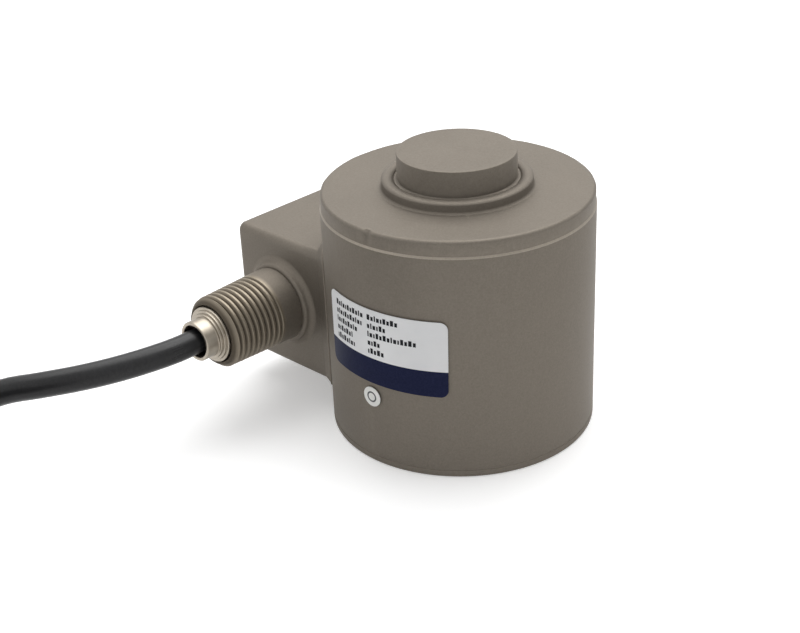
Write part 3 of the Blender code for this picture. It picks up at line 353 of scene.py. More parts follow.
# %% [markdown]
# ## A tube along a path
#
# A cable is one round section carried along its path. The section must not spin as it
# goes, or the lines drawn along the jacket would twist, so each frame is turned from the
# last by the smallest turn that fits the new direction. The mesh keeps the distance
# along and the place around in a UV map, for the jacket's fine drawn lines.

# %% Sweeping a round section
def mesh_of(name, points, faces, sharp_degrees=35):
    """A mesh of those points and faces, smooth except across sharp edges."""
    mesh = bpy.data.meshes.new(name)
    mesh.from_pydata([tuple(p) for p in points], [], faces)
    mesh.validate()
    mesh.shade_smooth()
    mesh.set_sharp_from_angle(angle=math.radians(sharp_degrees))
    return mesh


def mesh_from(bm, name, sharp_degrees=35):
    """A mesh of the faces built in bm, smooth except across sharp edges."""
    mesh = bpy.data.meshes.new(name)
    bm.to_mesh(mesh)
    bm.free()
    mesh.shade_smooth()
    mesh.set_sharp_from_angle(angle=math.radians(sharp_degrees))
    return mesh


def sweep(name, path, radius, sides):
    """A closed round tube along the path, with a UV map of length and turn."""
    path = [Vector(p) for p in path]
    count = len(path)
    tangents = [(path[min(i + 1, count - 1)] - path[max(i - 1, 0)]).normalized() for i in range(count)]
    across = tangents[0].orthogonal().normalized()
    points = []
    along = [0.0]
    for i, tangent in enumerate(tangents):
        across = (across - tangent * across.dot(tangent)).normalized()
        other = tangent.cross(across)
        for k in range(sides):
            angle = 2 * math.pi * k / sides
            points.append(path[i] + radius * (math.cos(angle) * across + math.sin(angle) * other))
        if i:
            along.append(along[-1] + (path[i] - path[i - 1]).length)
    faces = []
    for i in range(count - 1):
        for k in range(sides):
            j = (k + 1) % sides
            faces.append((i * sides + k, i * sides + j, (i + 1) * sides + j, (i + 1) * sides + k))
    faces.append(tuple(reversed(range(sides))))
    faces.append(tuple(range((count - 1) * sides, count * sides)))
    mesh = mesh_of(name, points, faces)
    layer = mesh.uv_layers.new(name="length_and_turn")
    for face in mesh.polygons:
        wraps = len({mesh.loops[l].vertex_index % sides for l in face.loop_indices} & {0, sides - 1}) == 2
        for loop in face.loop_indices:
            i, k = divmod(mesh.loops[loop].vertex_index, sides)
            turn = 1.0 if wraps and k == 0 else k / sides
            layer.data[loop].uv = (along[i], turn)
    return mesh


def place_piece(name, mesh, slot, *nodes, matrix=None):
    """A new piece on the load cell's one body, standing for the solids named."""
    piece = bpy.data.objects.new(name, mesh)
    bpy.context.scene.collection.objects.link(piece)
    if matrix is not None:
        piece.matrix_world = matrix
    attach(piece, "root")
    if nodes:
        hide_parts(*nodes)
    return piece


cable = place_piece(
    "cable_jacket", sweep("cable_jacket", cable_path, CABLE_RADIUS, 20), "jacket",
    "cable", "cable_coil", "cable_tail")
print("cable mesh:", len(cable.data.polygons), "faces")

# %% [markdown]
# ## The stripped end
#
# A load cell's cable ends in bare leads: two for the supply, two for the signal and the
# drain wire of the shield. Each lead is a thin insulated wire whose last few millimetres
# are stripped and tinned, so it is two tubes on one path.

# %% Leads at the far end
LEAD_RADIUS = 0.8 * MM
LEAD_CORE = 0.45 * MM
DRAIN_RADIUS = 1.3 * LEAD_CORE
LEAD_START = TAIL_TO + 0.0065         # a hair past the jacket's end
LEAD_SWEEP = math.radians(42)
LEAD_ROOT_RISE = 0.95 * MM
LEAD_ROOT_SPREAD = 1.15 * MM
LEAD_SPREAD = 4.0 * MM
LEAD_STEPS = 28
LEAD_NAMES = ("red", "black", "shield", "green", "white")
BARE_STEPS = 6                        # steps of a lead that are stripped


def lead_path(index):
    """From the jacket's end down to the coil's top, fanning out."""
    jacket = COIL_TOP + TAIL_CLEARANCE + CABLE_RADIUS
    root = jacket + (LEAD_ROOT_RISE if index % 2 else -LEAD_ROOT_RISE)
    resting = COIL_TOP + TAIL_CLEARANCE + LEAD_RADIUS
    points = []
    for i in range(LEAD_STEPS + 1):
        share = i / LEAD_STEPS
        height = root + (resting - root) * ease(share, 0.25, 0.85)
        fan = (index - 2) * (LEAD_ROOT_SPREAD + (LEAD_SPREAD - LEAD_ROOT_SPREAD) * share)
        angle = LEAD_START + LEAD_SWEEP * share
        points.append(coil_point(TAIL_RADIUS + fan, angle, height))
    return points


lead_pieces = []
for index, colour in enumerate(LEAD_NAMES):
    path = lead_path(index)
    node = "lead_" + colour
    if colour == "shield":
        core = sweep("shield_drain", path, DRAIN_RADIUS, 10)
        lead_pieces.append(place_piece("shield_drain", core, "tinned", node))
        continue
    skin = sweep(colour + "_lead", path[:LEAD_STEPS - BARE_STEPS + 1], LEAD_RADIUS, 12)
    lead_pieces.append(place_piece(colour + "_lead", skin, "wire_" + colour, node))
    core = sweep(colour + "_lead_core", path[LEAD_STEPS - BARE_STEPS:], LEAD_CORE, 10)
    lead_pieces.append(place_piece(colour + "_lead_core", core, "tinned"))
print("lead pieces:", len(lead_pieces))

# %% [markdown]
# ## Ties round the coil
#
# Two nylon ties keep the turns together. A tie is a flat strap that follows the coil's
# rounded section and passes through a small head. The strap here is one closed band with
# softened edges and fine teeth on its outside, and the head is a rounded block.

# %% Straps and heads
TIE_THICKNESS = 1.0 * MM
TIE_WIDTH = 5.0 * MM
TIE_ANGLES = (math.radians(-90), math.radians(30))
TIE_TEETH = 96
TIE_CORNER = 3.2 * MM
TIE_CLEARANCE = 0.3 * MM
TIE_PROFILE = ((-0.5, 0.12), (-0.42, 0.0), (0.42, 0.0), (0.5, 0.12),
               (0.5, 0.85), (0.3, 1.0), (-0.3, 1.0), (-0.5, 0.85))
TOOTH_DEPTH = 0.12                    # as a share of the strap's thickness
HEAD_SIZE = (7.0 * MM, 6.6 * MM, 3.6 * MM)
HEAD_EDGE = 0.7 * MM
HEAD_LIFT = 1.9 * MM                  # of the head's middle over the turns


def section_point(share, reach):
    """A point on the rounded rectangle round the coil's section: across, up and the
    outward direction. Share runs once round it."""
    half_width = CABLE_RADIUS * COIL_COLUMNS
    half_height = CABLE_RADIUS * COIL_LAYERS
    sides = (2 * (half_height - TIE_CORNER), 2 * (half_width - TIE_CORNER)) * 2
    bend = math.pi / 2 * (TIE_CORNER + reach)
    distance = share * (sum(sides) + 4 * bend)
    centres = ((1, 1), (-1, 1), (-1, -1), (1, -1))
    for index, side in enumerate(sides):
        start = math.pi / 2 * index
        out = Vector((math.cos(start), math.sin(start)))
        ahead = Vector((-out.y, out.x))
        sign = centres[index]
        middle = Vector((sign[0] * (half_width - TIE_CORNER), sign[1] * (half_height - TIE_CORNER)))
        if distance <= side:
            return middle + out * (TIE_CORNER + reach) - ahead * (side - distance), out
        distance -= side
        if distance <= bend:
            angle = start + distance / (TIE_CORNER + reach)
            out = Vector((math.cos(angle), math.sin(angle)))
            return middle + out * (TIE_CORNER + reach), out
        distance -= bend
    return section_point(0.0, reach)


def strap(name, steps):
    """A closed band round the coil's section, with a step of teeth on its outside."""
    points = []
    for i in range(steps):
        base, out = section_point(i / steps, TIE_CLEARANCE)
        tooth = TOOTH_DEPTH if i % 2 else 0.0
        for across, up in TIE_PROFILE:
            lift = up - tooth if up == 1.0 else up
            spot = base + out * (lift * TIE_THICKNESS)
            points.append(Vector((spot.x, across * TIE_WIDTH, spot.y)))
    count = len(TIE_PROFILE)
    faces = []
    for i in range(steps):
        ahead = (i + 1) % steps
        for k in range(count):
            j = (k + 1) % count
            faces.append((i * count + k, i * count + j, ahead * count + j, ahead * count + k))
    return mesh_of(name, points, faces, 50)


def rounded_block(name, size, easing, steps=4):
    """A block with rounded edges, made by bevelling a cube's edges."""
    bm = bmesh.new()
    bmesh.ops.create_cube(bm, size=1.0, matrix=Matrix.Diagonal((*size, 1.0)))
    bmesh.ops.bevel(bm, geom=bm.edges[:], offset=easing, segments=steps, profile=0.5, affect="EDGES")
    return mesh_from(bm, name, 40)


tie_pieces = []
for number, angle in enumerate(TIE_ANGLES, 1):
    middle = COIL_BOTTOM + CABLE_RADIUS * COIL_LAYERS
    stand = Matrix.Translation(coil_point(COIL_MEAN_RADIUS, angle, middle))
    stand = stand @ Matrix.Rotation(angle, 4, "Z")
    band = strap(f"tie_strap_{number}", TIE_TEETH * 2)
    tie_pieces.append(place_piece(band.name, band, "tie", f"cable_tie_{number}", matrix=stand))
    head = rounded_block(f"tie_head_{number}", HEAD_SIZE, HEAD_EDGE)
    lift = Matrix.Translation((0, 0, CABLE_RADIUS * COIL_LAYERS + HEAD_LIFT))
    tie_pieces.append(place_piece(head.name, head, "tie", matrix=stand @ lift))

print("ties:", len(tie_pieces) // 2)

# %% [markdown]
# ## Turned pieces
#
# The canister's wall, base and cover, the column and the gland were all made on a lathe,
# so each is a profile spun round its axis. A lathe leaves no perfectly sharp corner, and
# it is the small rounding that catches the light, so every corner of a profile carries
# its own easing radius and becomes a short arc.

# %% Easing corners and spinning
def eased(profile, steps=5):
    """Points of a closed profile of (radius, height, easing), corners made into arcs."""
    points = []
    count = len(profile)
    for index, (radius, height, easing) in enumerate(profile):
        corner = Vector((radius, height))
        back = Vector(profile[index - 1][:2]) - corner
        ahead = Vector(profile[(index + 1) % count][:2]) - corner
        half = back.angle(ahead) / 2
        if easing == 0 or half > math.radians(88):
            points.append(corner)
            continue
        run = min(easing / math.tan(half), 0.45 * back.length, 0.45 * ahead.length)
        middle = (back.normalized() + ahead.normalized()).normalized()
        centre = corner + middle * (run / math.cos(half))
        start = corner + back.normalized() * run - centre
        end = corner + ahead.normalized() * run - centre
        reach = start.length
        points += [centre + reach * start.slerp(end, i / steps) for i in range(steps + 1)]
    return points


def spun(name, profile, steps):
    """A profile of (radius, height) points spun round Z into one closed skin."""
    bm = bmesh.new()
    verts = [bm.verts.new((radius, 0, height)) for radius, height in profile]
    edges = [bm.edges.new((a, b)) for a, b in zip(verts, verts[1:])]
    if profile[0][0] > 0:
        edges.append(bm.edges.new((verts[-1], verts[0])))
    bmesh.ops.spin(bm, geom=verts + edges, cent=(0, 0, 0), axis=(0, 0, 1), angle=2 * math.pi,
                   steps=steps, use_merge=True)
    bmesh.ops.remove_doubles(bm, verts=bm.verts, dist=0.002 * MM)
    bmesh.ops.recalc_face_normals(bm, faces=bm.faces)
    return mesh_from(bm, name)


def arc(centre, radius, start, end, steps):
    """Profile points on an arc, angles in degrees from the outward direction."""
    points = []
    for i in range(steps + 1):
        angle = math.radians(start + (end - start) * i / steps)
        points.append((centre[0] + radius * math.cos(angle), centre[1] + radius * math.sin(angle)))
    return points


def with_hole(mesh, radius, length, matrix):
    """The mesh with a round hole cut through it."""
    target = bpy.data.objects.new("hole_target", mesh)
    bm = bmesh.new()
    bmesh.ops.create_cone(bm, cap_ends=True, segments=96, radius1=radius, radius2=radius, depth=length,
                          matrix=matrix)
    tool = bpy.data.objects.new("hole_tool", mesh_from(bm, "hole_tool"))
    for thing in (target, tool):
        bpy.context.scene.collection.objects.link(thing)
    hole = target.modifiers.new("Hole", "BOOLEAN")
    hole.operation = "DIFFERENCE"
    hole.solver = "EXACT"
    hole.object = tool
    bpy.context.view_layer.update()
    made = bpy.data.meshes.new_from_object(target.evaluated_get(bpy.context.evaluated_depsgraph_get()))
    made.name = mesh.name
    for thing in (target, tool):
        bpy.data.objects.remove(thing)
    made.shade_smooth()
    made.set_sharp_from_angle(angle=math.radians(35))
    return made

# %% [markdown]
# ## Canister wall and base
#
# The wall is a plain tube with a hole in its side for the wires, and its top edge is
# eased by 0.3 mm where the cover is welded on. The base closes the bottom, and the joint
# between the two shows as a faint line just above the floor.

# %% Wall and base
SEAT_GAP = 0.3 * MM
CAN_WALL = 3.0 * MM
CAN_HEIGHT = 64.0 * MM
BASE_RIM = 2.0 * MM
TUBE_BORE = CAN_RADIUS - CAN_WALL
BASE_TOP = 6.0 * MM
BASE_HOLE = 20.3 * MM
WIRE_HOLE = 7.9 * MM                  # radius, through the wall into the housing
OUTLET_HOLE = 9.9 * MM                # radius, through the housing's face
HOLE_LENGTH = 12 * MM                 # longer than any wall it cuts
ROUND_STEPS = 240
SMALL_ROUND_STEPS = 144

wall_profile = eased([
    (TUBE_BORE, CAN_HEIGHT, 0.1 * MM),
    (CAN_RADIUS, CAN_HEIGHT, 0.32 * MM),
    (CAN_RADIUS, BASE_RIM + SEAT_GAP, 0.12 * MM),
    (TUBE_BORE, BASE_RIM + SEAT_GAP, 0.1 * MM),
])
wall_mesh = spun("canister_wall", wall_profile, ROUND_STEPS)
side_hole = Matrix.Translation((-CAN_RADIUS, 0, OUTLET_FACE.z)) @ Matrix.Rotation(math.pi / 2, 4, "Y")
wall_mesh = with_hole(wall_mesh, WIRE_HOLE, HOLE_LENGTH, side_hole)
wall = place_piece("canister_wall", wall_mesh, "blasted_steel", "canister_tube")

base_profile = eased([
    (BASE_HOLE, BASE_TOP, 0.2 * MM),
    (TUBE_BORE - SEAT_GAP, BASE_TOP, 0.3 * MM),
    (TUBE_BORE - SEAT_GAP, BASE_RIM, 0),
    (CAN_RADIUS, BASE_RIM, 0.12 * MM),
    (CAN_RADIUS, 0, 0.6 * MM),
    (BASE_HOLE, 0, 0.3 * MM),
])
base = place_piece("base_ring", spun("base_ring", base_profile, ROUND_STEPS), "blasted_steel", "base_plate")
print("wall faces:", len(wall_mesh.polygons), "base faces:", len(base.data.polygons))

# %% [markdown]
# ## Closing welds
#
# Three fine welds seal the gauge's space. One joins the cover to the wall's ledge, and
# its bead is the pale line under the cover, paler partly as dressed metal and partly as a
# painted highlight. One joins the diaphragm to the load button, and one the base to the
# wall, where only a shallow groove is left. Each is a thin spun ring that bridges its gap.

# %% Rings over the gaps
def weld_ring(name, profile, steps):
    """A ring spun from (radius, height) points in millimetres."""
    mesh = spun(name, [(radius * MM, height * MM) for radius, height in profile], steps)
    return place_piece(name, mesh, "blasted_steel")


cover_weld = weld_ring("cover_weld", (
    (36.15, 63.86), (36.15, 64.5), (36.6, 64.5), (36.74, 64.32), (36.86, 64.12),
    (36.95, 63.95), (37.02, 63.76), (36.9, 63.66)), ROUND_STEPS)
button_weld = weld_ring("button_weld", (
    (15.95, 70.6), (15.95, 71.34), (16.08, 71.2), (16.26, 71.02), (16.5, 70.92),
    (16.75, 70.86), (16.75, 70.6)), SMALL_ROUND_STEPS)
base_weld = weld_ring("base_weld", (
    (36.5, 1.9), (36.8, 1.9), (36.88, 2.0), (36.88, 2.3), (36.8, 2.4), (36.5, 2.4)), ROUND_STEPS)
print("welds:", cover_weld.name, button_weld.name, base_weld.name)

# %% [markdown]
# ## Cover
#
# The cover is thin enough round the button to let the column move: a narrow groove, then
# a broad raised bead, which works as a diaphragm. Its outer corner was dressed by hand
# after welding, so it wanders by a few hundredths of a millimetre and has a small nick
# at the front. Moving the corner's points with a smooth noise gives that.

# %% Cover with its bead
COVER_SIDE = 36.75 * MM
COVER_TOP = 68.5 * MM
COVER_EDGE = 0.9 * MM
BUTTON_HOLE = 16.35 * MM
DIAPHRAGM_FLOOR = 70.82 * MM
BEAD_RADIUS = 20.3 * MM
BEAD_HALF_WIDTH = 1.65 * MM
BEAD_RISE = 0.88 * MM
BEAD_FOOT = 0.8 * MM
NICK_ANGLE = math.radians(-86.6)
NICK_DEPTH = 0.5 * MM
NICK_HALF_WIDTH = 0.7 * MM
DIAPHRAGM = 0.9 * MM                  # thickness under the bead and of the cover's roof
HOLLOW_RADIUS = 19.4 * MM             # of the recess under the bead
SKIRT_RADIUS = TUBE_BORE - SEAT_GAP
SKIRT_BOTTOM = CAN_HEIGHT - 3.5 * MM
SKIRT_WALL = 3.0 * MM
COVER_SEAT = CAN_HEIGHT + SEAT_GAP
DRESSED_FROM = CAN_HEIGHT + 1.2 * MM  # lowest place that the dressing reached


def oval_arc(centre, half_width, half_height, start, end, steps):
    """Profile points on an upright or lying oval, angles as for arc()."""
    flat = half_height / half_width
    circle = arc((0, 0), half_width, start, end, steps)
    return [(centre[0] + across, centre[1] + up * flat) for across, up in circle]


bead = (BEAD_RADIUS - BEAD_HALF_WIDTH, DIAPHRAGM_FLOOR + 0.06 * MM)
foot = (BEAD_RADIUS + BEAD_FOOT, COVER_TOP + BEAD_FOOT)
edge = (COVER_SIDE - COVER_EDGE, COVER_TOP - COVER_EDGE)
cover_profile = [(BUTTON_HOLE, DIAPHRAGM_FLOOR - 0.15 * MM), (BUTTON_HOLE + 0.15 * MM, DIAPHRAGM_FLOOR)]
cover_profile += [(16.8 * MM, DIAPHRAGM_FLOOR)]
cover_profile += oval_arc(bead, BEAD_HALF_WIDTH, BEAD_RISE, 176, 0, 20)
cover_profile += arc(foot, BEAD_FOOT, 180, 270, 8)
cover_profile += [(radius * MM, COVER_TOP) for radius in (21.6, 23, 25, 28, 31, 33, 34.4, 35.1, 35.6)]
cover_profile += arc(edge, COVER_EDGE, 90, 0, 12)
cover_profile += [
    (COVER_SIDE, COVER_SEAT + 0.1 * MM),
    (COVER_SIDE - 0.1 * MM, COVER_SEAT),
    (SKIRT_RADIUS, COVER_SEAT),
    (SKIRT_RADIUS, SKIRT_BOTTOM),
    (SKIRT_RADIUS - SKIRT_WALL, SKIRT_BOTTOM),
    (SKIRT_RADIUS - SKIRT_WALL, COVER_TOP - DIAPHRAGM),
    (HOLLOW_RADIUS + 0.45 * MM, COVER_TOP - DIAPHRAGM),
    (HOLLOW_RADIUS, COVER_TOP),
    (HOLLOW_RADIUS, DIAPHRAGM_FLOOR - DIAPHRAGM),
    (BUTTON_HOLE, DIAPHRAGM_FLOOR - DIAPHRAGM),
]
cover_mesh = spun("top_cover_skin", cover_profile, 360)
edge_start = edge[0] - 0.5 * MM
for vertex in cover_mesh.vertices:
    radius = math.hypot(vertex.co.x, vertex.co.y)
    if radius < edge_start or vertex.co.z < DRESSED_FROM:
        continue
    angle = math.atan2(vertex.co.y, vertex.co.x)
    ring = Vector((math.cos(angle), math.sin(angle), 0))
    wander = noise.noise(ring * 6.0) * 0.05 * MM + noise.noise(ring * 34.0) * 0.025 * MM
    apart = (angle - NICK_ANGLE) * COVER_SIDE
    nick = math.exp(-(apart / NICK_HALF_WIDTH) ** 2) * NICK_DEPTH
    at_corner = ease(radius, edge_start, edge[0] + 0.6 * COVER_EDGE)
    at_corner *= ease(vertex.co.z, DRESSED_FROM, edge[1] + 0.5 * COVER_EDGE)
    inwards = (0.03 * MM + wander + nick) * at_corner
    vertex.co -= ring * inwards + Vector((0, 0, inwards))
cover = place_piece("top_cover_skin", cover_mesh, "blasted_steel", "top_cover")
print("cover faces:", len(cover_mesh.polygons))

# %% [markdown]
# ## Column and load button
#
# The button is the top of the column. Only it shows, but the column goes on inside as a
# thinner neck with four milled flats for the gauges and a wide foot. The neck is spun
# round first. A milled flat is then a limit on how far a point may stand out in that
# direction, which rises again at the flat's rounded ends.

# %% Column
BUTTON_TOP = 78.4 * MM
BUTTON_RADIUS = 16.05 * MM
BUTTON_EDGE = 0.22 * MM
BUTTON_HEIGHT = 12.0 * MM
FOOT_RADIUS = 20.0 * MM
FOOT_HEIGHT = 7.0 * MM
NECK_RADIUS = 12.0 * MM
FLAT_DISTANCE = 8.5 * MM
FLAT_HALF = 13.0 * MM
FLAT_CENTRE = 38.0 * MM
FLAT_CORNER = 2.0 * MM


def sweep_in(start, end, steps):
    """A quarter ellipse that leaves start along the radius and meets end upright."""
    points = []
    for i in range(1, steps + 1):
        angle = math.pi / 2 * i / steps
        radius = end[0] + (start[0] - end[0]) * (1 - math.sin(angle))
        height = start[1] + (end[1] - start[1]) * (1 - math.cos(angle))
        points.append((radius, height))
    return points


button_bottom = BUTTON_TOP - BUTTON_HEIGHT
column_profile = [(0, BUTTON_TOP)]
column_profile += [(radius * MM, BUTTON_TOP) for radius in (4, 8, 12, 14.5)]
column_profile += arc((BUTTON_RADIUS - BUTTON_EDGE, BUTTON_TOP - BUTTON_EDGE), BUTTON_EDGE, 90, 0, 5)
column_profile += [(BUTTON_RADIUS, button_bottom + 0.3 * MM)]
column_profile += sweep_in((BUTTON_RADIUS, button_bottom), (NECK_RADIUS, button_bottom - 8 * MM), 14)
column_profile += [(NECK_RADIUS, height * MM) for height in np.arange(56.0, 14.0, -0.5)]
column_profile += sweep_in((FOOT_RADIUS, FOOT_HEIGHT), (NECK_RADIUS, FOOT_HEIGHT + 6 * MM), 14)[::-1]
column_profile += [(FOOT_RADIUS, FOOT_HEIGHT), (FOOT_RADIUS, 0.3 * MM)]
column_profile += [(FOOT_RADIUS - 0.3 * MM, 0), (0, 0)]
column_mesh = spun("column_and_button", column_profile, 192)
for vertex in column_mesh.vertices:
    past_end = FLAT_HALF - abs(vertex.co.z - FLAT_CENTRE)
    if past_end <= 0:
        continue
    short = max(0.0, FLAT_CORNER - past_end)
    limit = FLAT_DISTANCE + FLAT_CORNER - math.sqrt(FLAT_CORNER ** 2 - short ** 2)
    vertex.co.x = min(limit, max(-limit, vertex.co.x))
    vertex.co.y = min(limit, max(-limit, vertex.co.y))
column_mesh.set_sharp_from_angle(angle=math.radians(35))
column = place_piece("column_and_button", column_mesh, "turned_steel", "sensing_column")
print("column faces:", len(column_mesh.polygons))

# %% [markdown]
# ## Terminal housing
#
# The housing is a five-sided box whose open side is cut to the canister's curve and
# welded on. One loft makes it: a rounded outline is carried from the outer end along the
# sides, out over the sloping weld, and back down the cavity. The loops near the canister
# lie on a cylinder, so the box meets it squarely all the way round.

# %% Housing
HOUSING_REACH = 63.7 * MM
HOUSING_HALF_WIDTH = 25.7 * MM
HOUSING_HALF_HEIGHT = 20.05 * MM
HOUSING_MIDDLE = 28.85 * MM
HOUSING_EDGE = 2.4 * MM
HOUSING_WALL = 3.5 * MM
WELD_LEG = 2.0 * MM
WELD_SAG = 0.55                       # share of the weld that is missing under the box
CORNER_STEPS = 7
WIDE_SPANS = 44
TALL_SPANS = 16


def housing_outline(grow, corner):
    """Outline points of the box, grown outwards by grow."""
    half_width = HOUSING_HALF_WIDTH + grow
    half_height = HOUSING_HALF_HEIGHT + grow
    signs = ((1, 1), (-1, 1), (-1, -1), (1, -1))
    points = []
    for index, (across, up) in enumerate(signs):
        centre = (across * (half_width - corner), up * (half_height - corner))
        points += arc(centre, corner, 90 * index, 90 * index + 90, CORNER_STEPS)
        if index in (0, 2):
            reach = 2 * centre[0]
            height = points[-1][1]
            points += [(centre[0] - reach * i / WIDE_SPANS, height) for i in range(1, WIDE_SPANS)]
        else:
            reach = 2 * centre[1]
            side = points[-1][0]
            points += [(side, centre[1] - reach * i / TALL_SPANS) for i in range(1, TALL_SPANS)]
    return [(across, HOUSING_MIDDLE + up) for across, up in points]


def weld_outline(grow):
    """The box's outline grown by the weld, which is thinner under the box than on it."""
    points = []
    for across, up in housing_outline(grow, HOUSING_EDGE + grow):
        below = max(0.0, HOUSING_MIDDLE - up) / HOUSING_HALF_HEIGHT
        points.append((across, up + WELD_SAG * grow * below))
    return points


def flat_loop(x, outline):
    return [Vector((x, across, up)) for across, up in outline]


def round_loop(radius, outline):
    return [Vector((-math.sqrt(radius ** 2 - across ** 2), across, up)) for across, up in outline]


housing_loops = []
for i in range(8):
    angle = math.pi / 2 * i / 8
    inset = HOUSING_EDGE * (1 - math.sin(angle))
    x = HOUSING_EDGE * (1 - math.cos(angle)) - HOUSING_REACH
    housing_loops.append(flat_loop(x, housing_outline(-inset, HOUSING_EDGE - inset / 2)))
sides = housing_outline(0, HOUSING_EDGE)
for share in (0.0, 0.2, 0.4, 0.6, 0.8):
    start = flat_loop(HOUSING_EDGE - HOUSING_REACH, sides)
    end = round_loop(CAN_RADIUS + WELD_LEG, sides)
    housing_loops.append([a.lerp(b, share) for a, b in zip(start, end)])
for share in (0.0, 0.04, 0.35, 0.68, 0.96, 1.0):
    grow = WELD_LEG * share
    hollow = 0.16 * MM * math.sin(math.pi * share)
    radius = CAN_RADIUS + WELD_LEG - (WELD_LEG - SEAT_GAP) * share - hollow
    housing_loops.append(round_loop(radius, weld_outline(grow)))
cavity = housing_outline(-HOUSING_WALL, HOUSING_EDGE / 2)
housing_loops.append(round_loop(CAN_RADIUS + SEAT_GAP, cavity))
housing_loops.append(flat_loop(HOUSING_WALL - HOUSING_REACH, cavity))

bm = bmesh.new()
rows = [[bm.verts.new(point) for point in loop] for loop in housing_loops]
for lower, upper in zip(rows, rows[1:]):
    for i in range(len(lower)):
        j = (i + 1) % len(lower)
        bm.faces.new((lower[i], lower[j], upper[j], upper[i]))
bm.faces.new(rows[0])
bm.faces.new(rows[-1])
bmesh.ops.recalc_face_normals(bm, faces=bm.faces)
outlet_turn = Matrix.Translation(OUTLET_FACE) @ Matrix.Rotation(math.pi / 2, 4, "X")
housing_mesh = with_hole(mesh_from(bm, "housing_skin"), OUTLET_HOLE, HOLE_LENGTH, outlet_turn)
housing = place_piece("housing_skin", housing_mesh, "blasted_steel", "terminal_housing")
print("housing faces:", len(housing_mesh.polygons))

# %% [markdown]
# ## Housing weld
#
# A thin bead closes the joint between the housing's rim and the canister. It was blasted
# with the rest, so it only shows as a soft line. It's a slim tube half sunk along the rim.

# %% Bead on the canister
rim = round_loop(CAN_RADIUS + 0.12 * MM, weld_outline(WELD_LEG - 0.1 * MM))
rim_path = smooth_path(rim + [rim[0]], 0.8 * MM)
housing_bead = place_piece("housing_weld", sweep("housing_weld", rim_path, 0.34 * MM, 10), "blasted_steel")
print("bead:", len(rim_path), "points round the housing")

# %% [markdown]
# ## Threaded outlet
#
# The outlet takes a conduit, so it has a tapered pipe thread, 14 turns to the inch. A
# thread is a groove of constant angle whose depth grows from nothing where the tool runs
# in. The skin follows the groove: its rows climb one pitch in each turn, so that every
# crest and root is a line of the mesh, and a row that has gone round once meets the row
# one pitch above it. The first turn has no depth yet, so the rows leave the neck
# smoothly. The crests taper from the thread's start on.

# %% Thread, neck and collar
THREAD_RADIUS = 10.8 * MM
THREAD_START = 7.9 * MM
THREAD_PITCH = 25.4 / 14 * MM
THREAD_LEAD_IN = THREAD_START - THREAD_PITCH
THREAD_DEPTH = 1.0 * MM
THREAD_TAPER = math.tan(math.radians(1.79))
THREAD_STEPS = 144
OUTLET_BORE = 8.3 * MM
SPIGOT_RADIUS = 9.6 * MM
END_RADIUS = 8.9 * MM
COLLAR_RADIUS = 12.45 * MM
FLARE_RADIUS = 14.2 * MM
FLARE_SINK = -0.01 * MM
PITCH_PLACES = (0.0, 0.02, 0.05, 0.12, 0.2, 0.28, 0.35, 0.39, 0.407, 0.42, 0.44, 0.5,
                0.56, 0.58, 0.593, 0.61, 0.65, 0.72, 0.8, 0.88, 0.95, 0.98)


def thread_radius(height, place, turn):
    """The skin's radius at a height, a place in the pitch and a count of turns."""
    crest = THREAD_RADIUS - max(0.0, height - THREAD_START) * THREAD_TAPER
    depth = THREAD_DEPTH * ease(turn, 1.0, 2.8)
    aside = min(place, 1 - place) * THREAD_PITCH
    aside = math.hypot(aside, 0.06 * MM)
    flank = depth - aside * math.sqrt(3)
    groove = 0.5 * (flank + math.hypot(flank, 0.03 * MM))
    chamfer = END_RADIUS + max(0.0, ADAPTOR_LENGTH - height)
    return min(crest - groove, chamfer)


bm = bmesh.new()


def adaptor_ring(radius, height):
    ring = []
    for i in range(THREAD_STEPS):
        angle = 2 * math.pi * i / THREAD_STEPS
        ring.append(bm.verts.new((radius * math.cos(angle), radius * math.sin(angle), height)))
    return ring


def join_rings(lower, upper):
    for i in range(THREAD_STEPS):
        j = (i + 1) % THREAD_STEPS
        bm.faces.new((lower[i], lower[j], upper[j], upper[i]))


inner_end = SEAT_GAP - HOUSING_WALL
collar = [
    (OUTLET_BORE, inner_end), (SPIGOT_RADIUS - 0.3 * MM, inner_end), (SPIGOT_RADIUS, inner_end + 0.3 * MM),
    (SPIGOT_RADIUS, SEAT_GAP), (COLLAR_RADIUS, SEAT_GAP), (COLLAR_RADIUS, 0.1 * MM),
    (FLARE_RADIUS, -0.2 * MM),
]
for i in range(13):
    share = i / 12
    flare = FLARE_RADIUS + (COLLAR_RADIUS - 0.35 * MM - FLARE_RADIUS) * share
    collar.append((flare, FLARE_SINK + (1.15 * MM - FLARE_SINK) * share ** 3))
collar += arc((10.95 * MM, 1.1 * MM), 1.2 * MM, 24, 84, 7)
collar += [(10.86 * MM, 2.26 * MM), (10.6 * MM, 2.28 * MM), (10.6 * MM, 2.5 * MM), (10.8 * MM, 2.66 * MM)]
collar += [(THREAD_RADIUS, height * MM) for height in (3.2, 3.8, 4.4, 5.0, 5.6)]
rings = [adaptor_ring(radius, height) for radius, height in collar]
for lower, upper in zip(rings, rings[1:]):
    join_rings(lower, upper)

